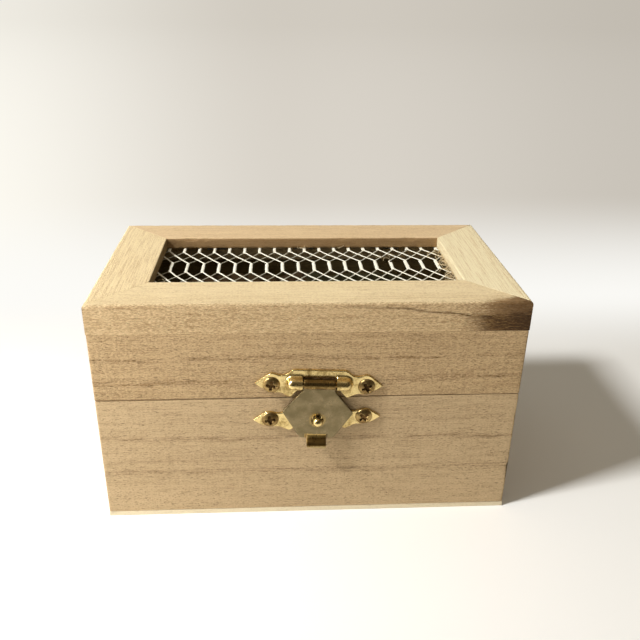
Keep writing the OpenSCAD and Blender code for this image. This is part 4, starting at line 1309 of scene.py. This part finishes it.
def make_hat():
    brim, band = HEAD_Z + 4.5, HEAD_Z + 3.1
    shapes = [turned(bowl(HEAD_R + 0.12, brim, 20)[::-1] + bowl(HEAD_R + 1.3, brim, 30), 96)]
    for s in (-1, 1):
        horn = through(HORN, 12)
        path, radii = [(s * x, y, z) for x, y, z, _ in horn], [r - 0.35 for *_, r in horn]
        end, tip_way = Vector(path[-1]), (Vector(path[-1]) - Vector(path[-2])).normalized()
        r = radii[-1]
        for a in spread(0, pi / 2, 6)[1:]:  # rounded tip
            path.append(tuple(end + tip_way * r * sin(a)))
            radii.append(max(0.05, r * cos(a)))
        shapes.append(tube(path, radii, sides=40))
    rough_obj = put("hat_rough", *join(*shapes))
    remesh = rough_obj.modifiers.new("remesh", "REMESH")
    remesh.mode, remesh.voxel_size = "VOXEL", 0.55 * MM
    smooth = rough_obj.modifiers.new("smooth", "SMOOTH")
    smooth.factor, smooth.iterations = 0.5, 6
    done = rough_obj.evaluated_get(bpy.context.evaluated_depsgraph_get()).to_mesh()
    points = [tuple(c / MM for c in v.co) for v in done.vertices]
    faces = [tuple(f.vertices) for f in done.polygons]
    normals = [tuple(v.normal) for v in done.vertices]
    rough_obj.to_mesh_clear()
    bpy.data.objects.remove(rough_obj)
    moved = []
    for (x, y, z), n in zip(points, normals):
        horn_share = clamp((abs(x) - 9) / 8)
        fold = sin(abs(x) * 0.95 + 1.5 * swell(x / 9, y / 7, z / 7)) * 0.2 * horn_share
        fold += 0.22 * lumpy(x, y, z, 4.0, 6.0) + 0.08 * lumpy(x, y, z, 1.1, 2.0)
        from_head = dist((x, y, z), (0, 0, HEAD_Z))
        if from_head < HEAD_R + 0.7:  # the lining stays off the head
            fold = 0.0
        seam_line = peak(abs(x), 0.7) * 0.35 if from_head > HEAD_R + 0.9 else 0.0
        # a raised seam runs along the back of each horn
        ridge = peak(abs(y - 2 - (abs(x) - 7) * 0.12), 0.6) * 0.3 * horn_share if z > 50 and n[2] > 0.5 else 0.0
        push = fold - 0.18 - seam_line + ridge
        moved.append((x + n[0] * push, y + n[1] * push, z + n[2] * push))
    piece("hat", (moved, faces), felt())

    # plaited band: three cords that cross over and under
    shapes = []
    for k in range(3):
        path = []
        for a in angles(600):
            b = 34 * a + tau * k / 3
            path.append((*polar(HEAD_R + 0.65 + 0.2 * cos(2 * b), a), band + 0.74 * sin(b)))
        shapes.append(tube(path, 0.4, sides=8, ring=True))
    piece("hat_band", join(*shapes), cloth("gold_braid", srgb(196, 152, 66), weave=0.3, rough=0.5))

    # jingle bells: rolled seam round the middle, two crossed slots ending in round holes below, loop above
    r, slot_depth = 2.72, 0.5
    loops = []
    for b in spread(-pi / 2, pi / 2, 40)[1:-1]:
        loop = []
        for a in angles(64):
            rr = r + 0.26 * exp(-(b / 0.07) ** 2)
            x, y, z = cos(a) * cos(b), sin(a) * cos(b), sin(b)
            if z < -0.1:
                rr -= slot_depth * clamp((-0.1 - z) / 0.12) * clamp((0.12 - min(abs(x), abs(y))) / 0.05)
                for hole in ((0.86, 0, -0.45), (-0.86, 0, -0.45), (0, 0.86, -0.45), (0, -0.86, -0.45)):
                    rr -= slot_depth * clamp((0.26 - dist((x, y, z), hole)) / 0.06)
                rr = max(rr, r - slot_depth - 0.05)
            loop.append((x * rr, y * rr, z * rr))
        loops.append(loop)
    ring = [(0.75 * cos(a), 0, r + 0.35 + 0.75 * sin(a)) for a in angles(24)]
    bell = join(rings(loops), tube(ring, 0.2, sides=6, up=(0, 1, 0), ring=True))
    x, y, z, _ = HORN[-1]
    gold = metal("bell_gold", srgb(236, 198, 110), srgb(176, 128, 56), 0.14)
    piece("hat_bells", join(*(placed(bell, at(s * (x + 3), y, z - 5.6)) for s in (-1, 1))), gold)


make_spring()
make_sleeve()
make_ruff()
make_head()
make_hat()


# ---- Floor, world and lamps ----
def floor_paint():
    p = Paint("floor_paint", Roughness=0.9, Specular_IOR_Level=0.1)
    x, y, _ = p.split(p.place)
    # behind the object, the floor's paint is paler on the left and darker to the right and into the distance: painted
    # shade of a room lit from the left
    side = x / (y + 260.0)
    far = p.step(y, 105.0, 320.0)
    tint = p.mix(p.step(side, -0.42, 0.02), srgb(255, 252, 243), srgb(219, 213, 203))
    tint = p.mix(p.step(side, 0.05, 0.5), tint, srgb(203, 197, 187))
    deep = p.step(y, 300.0, 2600.0)
    tint = p.mix(deep * 0.12, tint, srgb(150, 140, 120))
    colour = p.mix(far, srgb(253, 252, 248), tint)
    p.link(colour, "Base Color")
    # what the camera and mirrors see far from the object is plain paint, so the lamps' falloff doesn't show
    glow = p.node("Emission", {"Color": colour, "Strength": 1.0})
    path = p.tree.nodes.new("ShaderNodeLightPath").outputs
    seen = p.math("MAXIMUM", path["Is Camera Ray"], path["Is Glossy Ray"])
    seen = p.math("MAXIMUM", seen, path["Is Transmission Ray"])
    near = p.far(x, y)
    share = p.math("MAXIMUM", p.step(near, 190.0, 420.0, 0.0, 0.95), p.step(y, 50.0, 130.0, 0.0, 0.95))
    mixer = p.node("MixShader", {0: seen * share, 1: p.shader.outputs[0], 2: glow})
    # in mirrors, the table ends a hand's breadth in front of the object
    room = p.node("Emission", {"Color": srgb(66, 56, 40), "Strength": 1.0})
    edge = path["Is Glossy Ray"] * p.step(y, -115.0, -190.0)
    mixer = p.node("MixShader", {0: edge, 1: mixer, 2: room})
    p.wire(mixer, p.tree.nodes["Material Output"].inputs["Surface"])
    return p.material


def make_stage():
    half = 12 / MM  # 12 m
    floor = put("floor", [(-half, -half, 0), (half, -half, 0), (half, half, 0), (-half, half, 0)], [(0, 1, 2, 3)])
    floor.data.materials.append(floor_paint())

    world = bpy.data.worlds.new("studio")
    bpy.context.scene.world = world
    world.use_nodes = True
    w = Nodes(world.node_tree)
    surface = w.tree.nodes["Background"]
    surface.inputs["Color"].default_value = (1.0, 0.91, 0.76, 1)
    surface.inputs["Strength"].default_value = 0.17
    surface = surface.outputs[0]
    # metal mirrors a room that is pale behind the object and to its left, and dim above and in front
    way = w.node("TexCoord", out="Generated")
    side = w.node("VectorMath", {0: way, 1: (-0.6, 0.8, -0.1)}, "Value", operation="DOT_PRODUCT")
    room = w.node("Background", {"Color": w.mix(w.step(side, -0.15, 0.5), srgb(72, 64, 50), srgb(222, 216, 204))})
    back = w.node("Background", {"Color": srgb(214, 208, 198)})
    path = w.tree.nodes.new("ShaderNodeLightPath").outputs
    for seen, light in (("Is Glossy Ray", room), ("Is Transmission Ray", back), ("Is Camera Ray", back)):
        surface = w.node("MixShader", {0: path[seen], 1: surface, 2: light})
    w.wire(surface, w.tree.nodes["World Output"].inputs["Surface"])


def lamp(name, azimuth, elevation, distance, size, watts, colour=(1, 1, 1)):
    """An area lamp. Azimuth 0 is in front of the box and 90 to its left."""
    a, e = radians(azimuth), radians(elevation)
    way = Vector((-sin(a) * cos(e), -cos(a) * cos(e), sin(e)))
    data = bpy.data.lights.new(name, "AREA")
    data.shape, data.size, data.energy, data.color = "SQUARE", size, watts, colour
    obj = add(name, data)
    obj.location = Vector((0, 0, 0.05)) + way * distance
    obj.rotation_euler = way.to_track_quat("Z", "Y").to_euler()


make_stage()
lamp("key", 68.5, 45, 1.1, 0.16, 11.2)
lamp("overhead", 90, 89, 0.8, 0.8, 0.85, (1.0, 0.86, 0.66))
lamp("low_left", 63, 11, 0.19, 0.06, 0.17)
